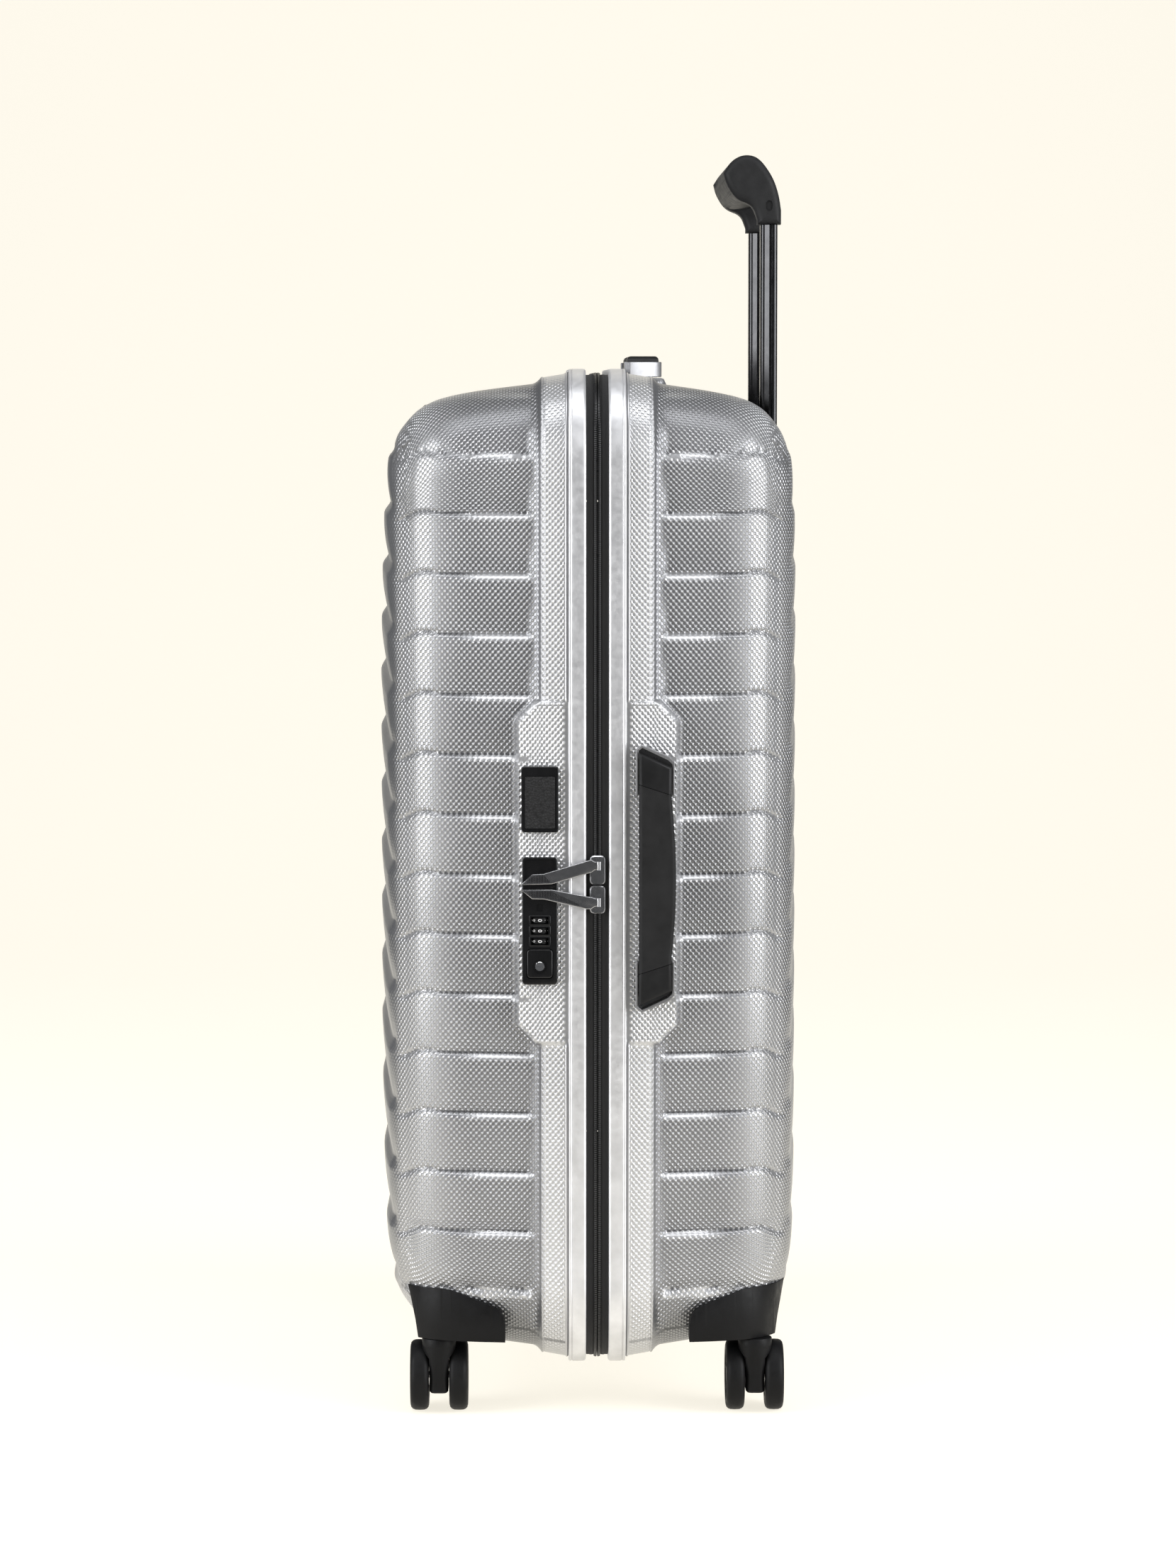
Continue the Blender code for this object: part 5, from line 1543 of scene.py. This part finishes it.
def packing_strap(end):
    """Ribbed webbing with a folded, stitched end."""
    node = f"strap_{end}"
    low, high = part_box(node)
    width = high.z - low.z
    ridges = 9
    points = [(high.x, low.z), (high.x, high.z)]
    for k in range(ridges, -1, -1):
        z = low.z + width * k / ridges
        points.append((low.x + 0.0002, z))
        if k:
            points.append((low.x, z - width / ridges / 2))
    band = prism(node + "_webbing", [(x, z) for x, z in points], "Y", low.y, high.y)
    finish_piece(band, "strap_black", "back_case", node)
    outer = low.y if end == "near" else high.y
    sign = 1 if end == "near" else -1
    fold = box(f"{node}_fold", (low.x - 0.0011, min(outer, outer + sign * 0.03), low.z - 0.0004),
               (low.x + 0.0003, max(outer, outer + sign * 0.03), high.z + 0.0004), 0.0005)
    finish_piece(fold, "strap_black", "back_case")
    stitches = []
    for row in (0.004, 0.013, 0.022):
        for k in range(8):
            z = low.z + 0.002 + 0.0027 * k
            y = outer + sign * (row + 0.002)
            stitch_low = (low.x - 0.0013, y - 0.0003, z)
            stitches.append(box("stitch", stitch_low, (low.x - 0.0009, y + 0.0003, z + 0.0018), 0.0002))
    stitches = joined(f"{node}_stitches", stitches)
    finish_piece(stitches, "lining_grey", "back_case")


def buckle():
    """A side-release buckle: the socket, the plug's two side arms in its openings, and the strap bar."""
    low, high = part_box("strap_buckle")
    y, z = (low.y + high.y) / 2, (low.z + high.z) / 2
    half_y, half_z = (high.y - low.y) / 2, (high.z - low.z) / 2
    socket = [(-half_y + 0.002, -0.015), (-half_y, -0.013), (-half_y, 0.013), (-half_y + 0.002, 0.015),
              (0.002, half_z - 0.0005), (0.01, half_z - 0.004), (0.01, -half_z + 0.004),
              (0.002, -half_z + 0.0005)]
    body = prism("buckle_socket", smoothed([(y + u, z + v) for u, v in socket], 2), "X", low.x, high.x,
                 0.0018, 5)
    for sign in (-1, 1):
        notch = [(y - 0.012, z + sign * 0.011), (y + 0.006, z + sign * 0.0125),
                 (y + 0.006, z + sign * 0.03),
                 (y - 0.012, z + sign * 0.03)]
        cut(body, prism("notch", notch, "X", low.x - 0.01, high.x + 0.01))
    cut(body, prism("slot", rounded_rectangle(0.0016, 0.0125, 0.001, 4, (y - 0.02, z)), "X",
                        low.x - 0.01, high.x - 0.003))
    shade(body, 35)
    finish_piece(body, "black_plastic", "back_case", "strap_buckle")
    plug = prism("buckle_plug", rounded_rectangle(0.0072, 0.016, 0.003, 6, (y + half_y - 0.0074, z)), "X",
                 low.x + 0.001, high.x, 0.0014, 4)
    cut(plug, prism("slot", rounded_rectangle(0.0018, 0.0125, 0.001, 4, (y + half_y - 0.006, z)), "X",
                        low.x - 0.01, high.x - 0.003))
    for sign in (-1, 1):
        arm = [(y + 0.014, z + sign * 0.012), (y + 0.005, z + sign * 0.013),
               (y - 0.01, z + sign * 0.0118),
               (y - 0.0112, z + sign * 0.014), (y - 0.006, z + sign * 0.0168),
               (y + 0.014, z + sign * 0.0156)]
        add(plug, prism("arm", smoothed(arm, 1), "X", low.x + 0.0018, high.x - 0.0018, 0.0008, 3))
    shade(plug, 35)
    finish_piece(plug, "black_plastic", "back_case")


lining("front", FRONT, FRONT_DEPTH)
lining("back", BACK, BACK_DEPTH)
pocket()
for end in ("near", "far"):
    packing_strap(end)
buckle()

# ---------------------------------------------------------------- everything else, from the CAD

ROUNDED = {
    "trolley_cup": 0.0008, "trolley_foot": 0.001, "front_trim_plate": 0.0003, "badge_plate": 0.0005,
    "badge_inlay": 0.0002, "trolley_button": 0.0006, "zip_slider_upper": 0.0003, "zip_slider_lower": 0.0003,
}
for name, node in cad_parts.items():
    if node.hide_render:
        continue
    slot = node.data.materials[0].name
    node.data.materials.clear()
    node.data.materials.append(INLAY_LOOK if name == "badge_inlay" else LOOKS[slot])
    if name in ROUNDED:
        bevelled(node, ROUNDED[name], 4, 25)

# ---------------------------------------------------------------- floor, light and camera


def backdrop():
    """A pale floor that curves up into a wall behind."""
    profile = [(-1.2, 0.0), (2.6, 0.0)]
    profile += [(2.6 + 2.4 * math.sin(a), 2.4 - 2.4 * math.cos(a)) for a in np.linspace(0.08, math.pi / 2,
                                                                                        24)]
    profile.append((5.0, 9.0))
    vertices = [(x, y, z) for x in (-1.2, 1.2) for y, z in profile]
    n = len(profile)
    faces = [(i, i + 1, n + i + 1, n + i) for i in range(n - 1)]
    made = object_from("backdrop", vertices, faces, 60)
    look = Look("backdrop_paper", (0.5, 0.48, 0.44), 0.9)
    look.colour(look.noise(3.0, 2.0), (0.345, 0.33, 0.3), (0.355, 0.34, 0.31))
    look.shader.inputs["Emission Color"].default_value = (1.0, 0.955, 0.84, 1.0)
    look.shader.inputs["Emission Strength"].default_value = 0.8
    made.data.materials.append(look.material)


def area_light(name, where, target, size, power, colour=(1, 1, 1)):
    """A soft box aimed at a point."""
    data = bpy.data.lights.new(name, "AREA")
    data.shape = "RECTANGLE"
    data.size, data.size_y = size
    data.energy = power
    data.color = colour
    made = bpy.data.objects.new(name, data)
    bpy.context.scene.collection.objects.link(made)
    made.location = where
    made.rotation_euler = (Vector(target) - Vector(where)).to_track_quat("-Z", "Y").to_euler()


def studio():
    """Soft light from above and both sides, on a pale world."""
    world = bpy.data.worlds.new("studio")
    world.use_nodes = True
    world.node_tree.nodes["Background"].inputs[0].default_value = (0.95, 0.97, 1.0, 1.0)
    world.node_tree.nodes["Background"].inputs[1].default_value = 0.14
    bpy.context.scene.world = world
    bpy.context.scene.view_settings.view_transform = "Standard"
    middle = (0.0, 0.0, 0.42)
    area_light("top_box", (0.0, -0.9, 2.9), middle, (2.6, 1.2), 36.0, (0.97, 0.98, 1.0))
    area_light("left_box", (-2.3, -1.2, 1.1), middle, (1.3, 2.4), 76.0, (0.97, 0.98, 1.0))
    area_light("right_box", (2.3, -1.2, 1.1), middle, (1.3, 2.4), 80.0, (0.97, 0.98, 1.0))
    area_light("left_front_box", (-2.0, -2.3, 1.0), middle, (1.1, 2.4), 12.0, (0.97, 0.98, 1.0))
    area_light("right_front_box", (2.0, -2.3, 1.0), middle, (1.1, 2.4), 16.0, (0.97, 0.98, 1.0))
    area_light("front_box", (0.3, -4.6, 2.6), middle, (1.2, 0.8), 12.0)


def camera():
    """A long lens a little above the handle, looking slightly down at the lock side."""
    data = bpy.data.cameras.new("camera")
    data.sensor_fit = "VERTICAL"
    data.sensor_height = 24.0
    data.lens = 75.95
    made = bpy.data.objects.new("camera", data)
    bpy.context.scene.collection.objects.link(made)
    made.location = (-0.0315, near_y(-3.5), MID_Z + 0.34875)
    aim = Vector((-0.0018, near_y(0.0), MID_Z + 0.06575))
    made.rotation_euler = (aim - made.location).to_track_quat("-Z", "Y").to_euler()
    bpy.context.scene.camera = made


backdrop()
studio()
camera()
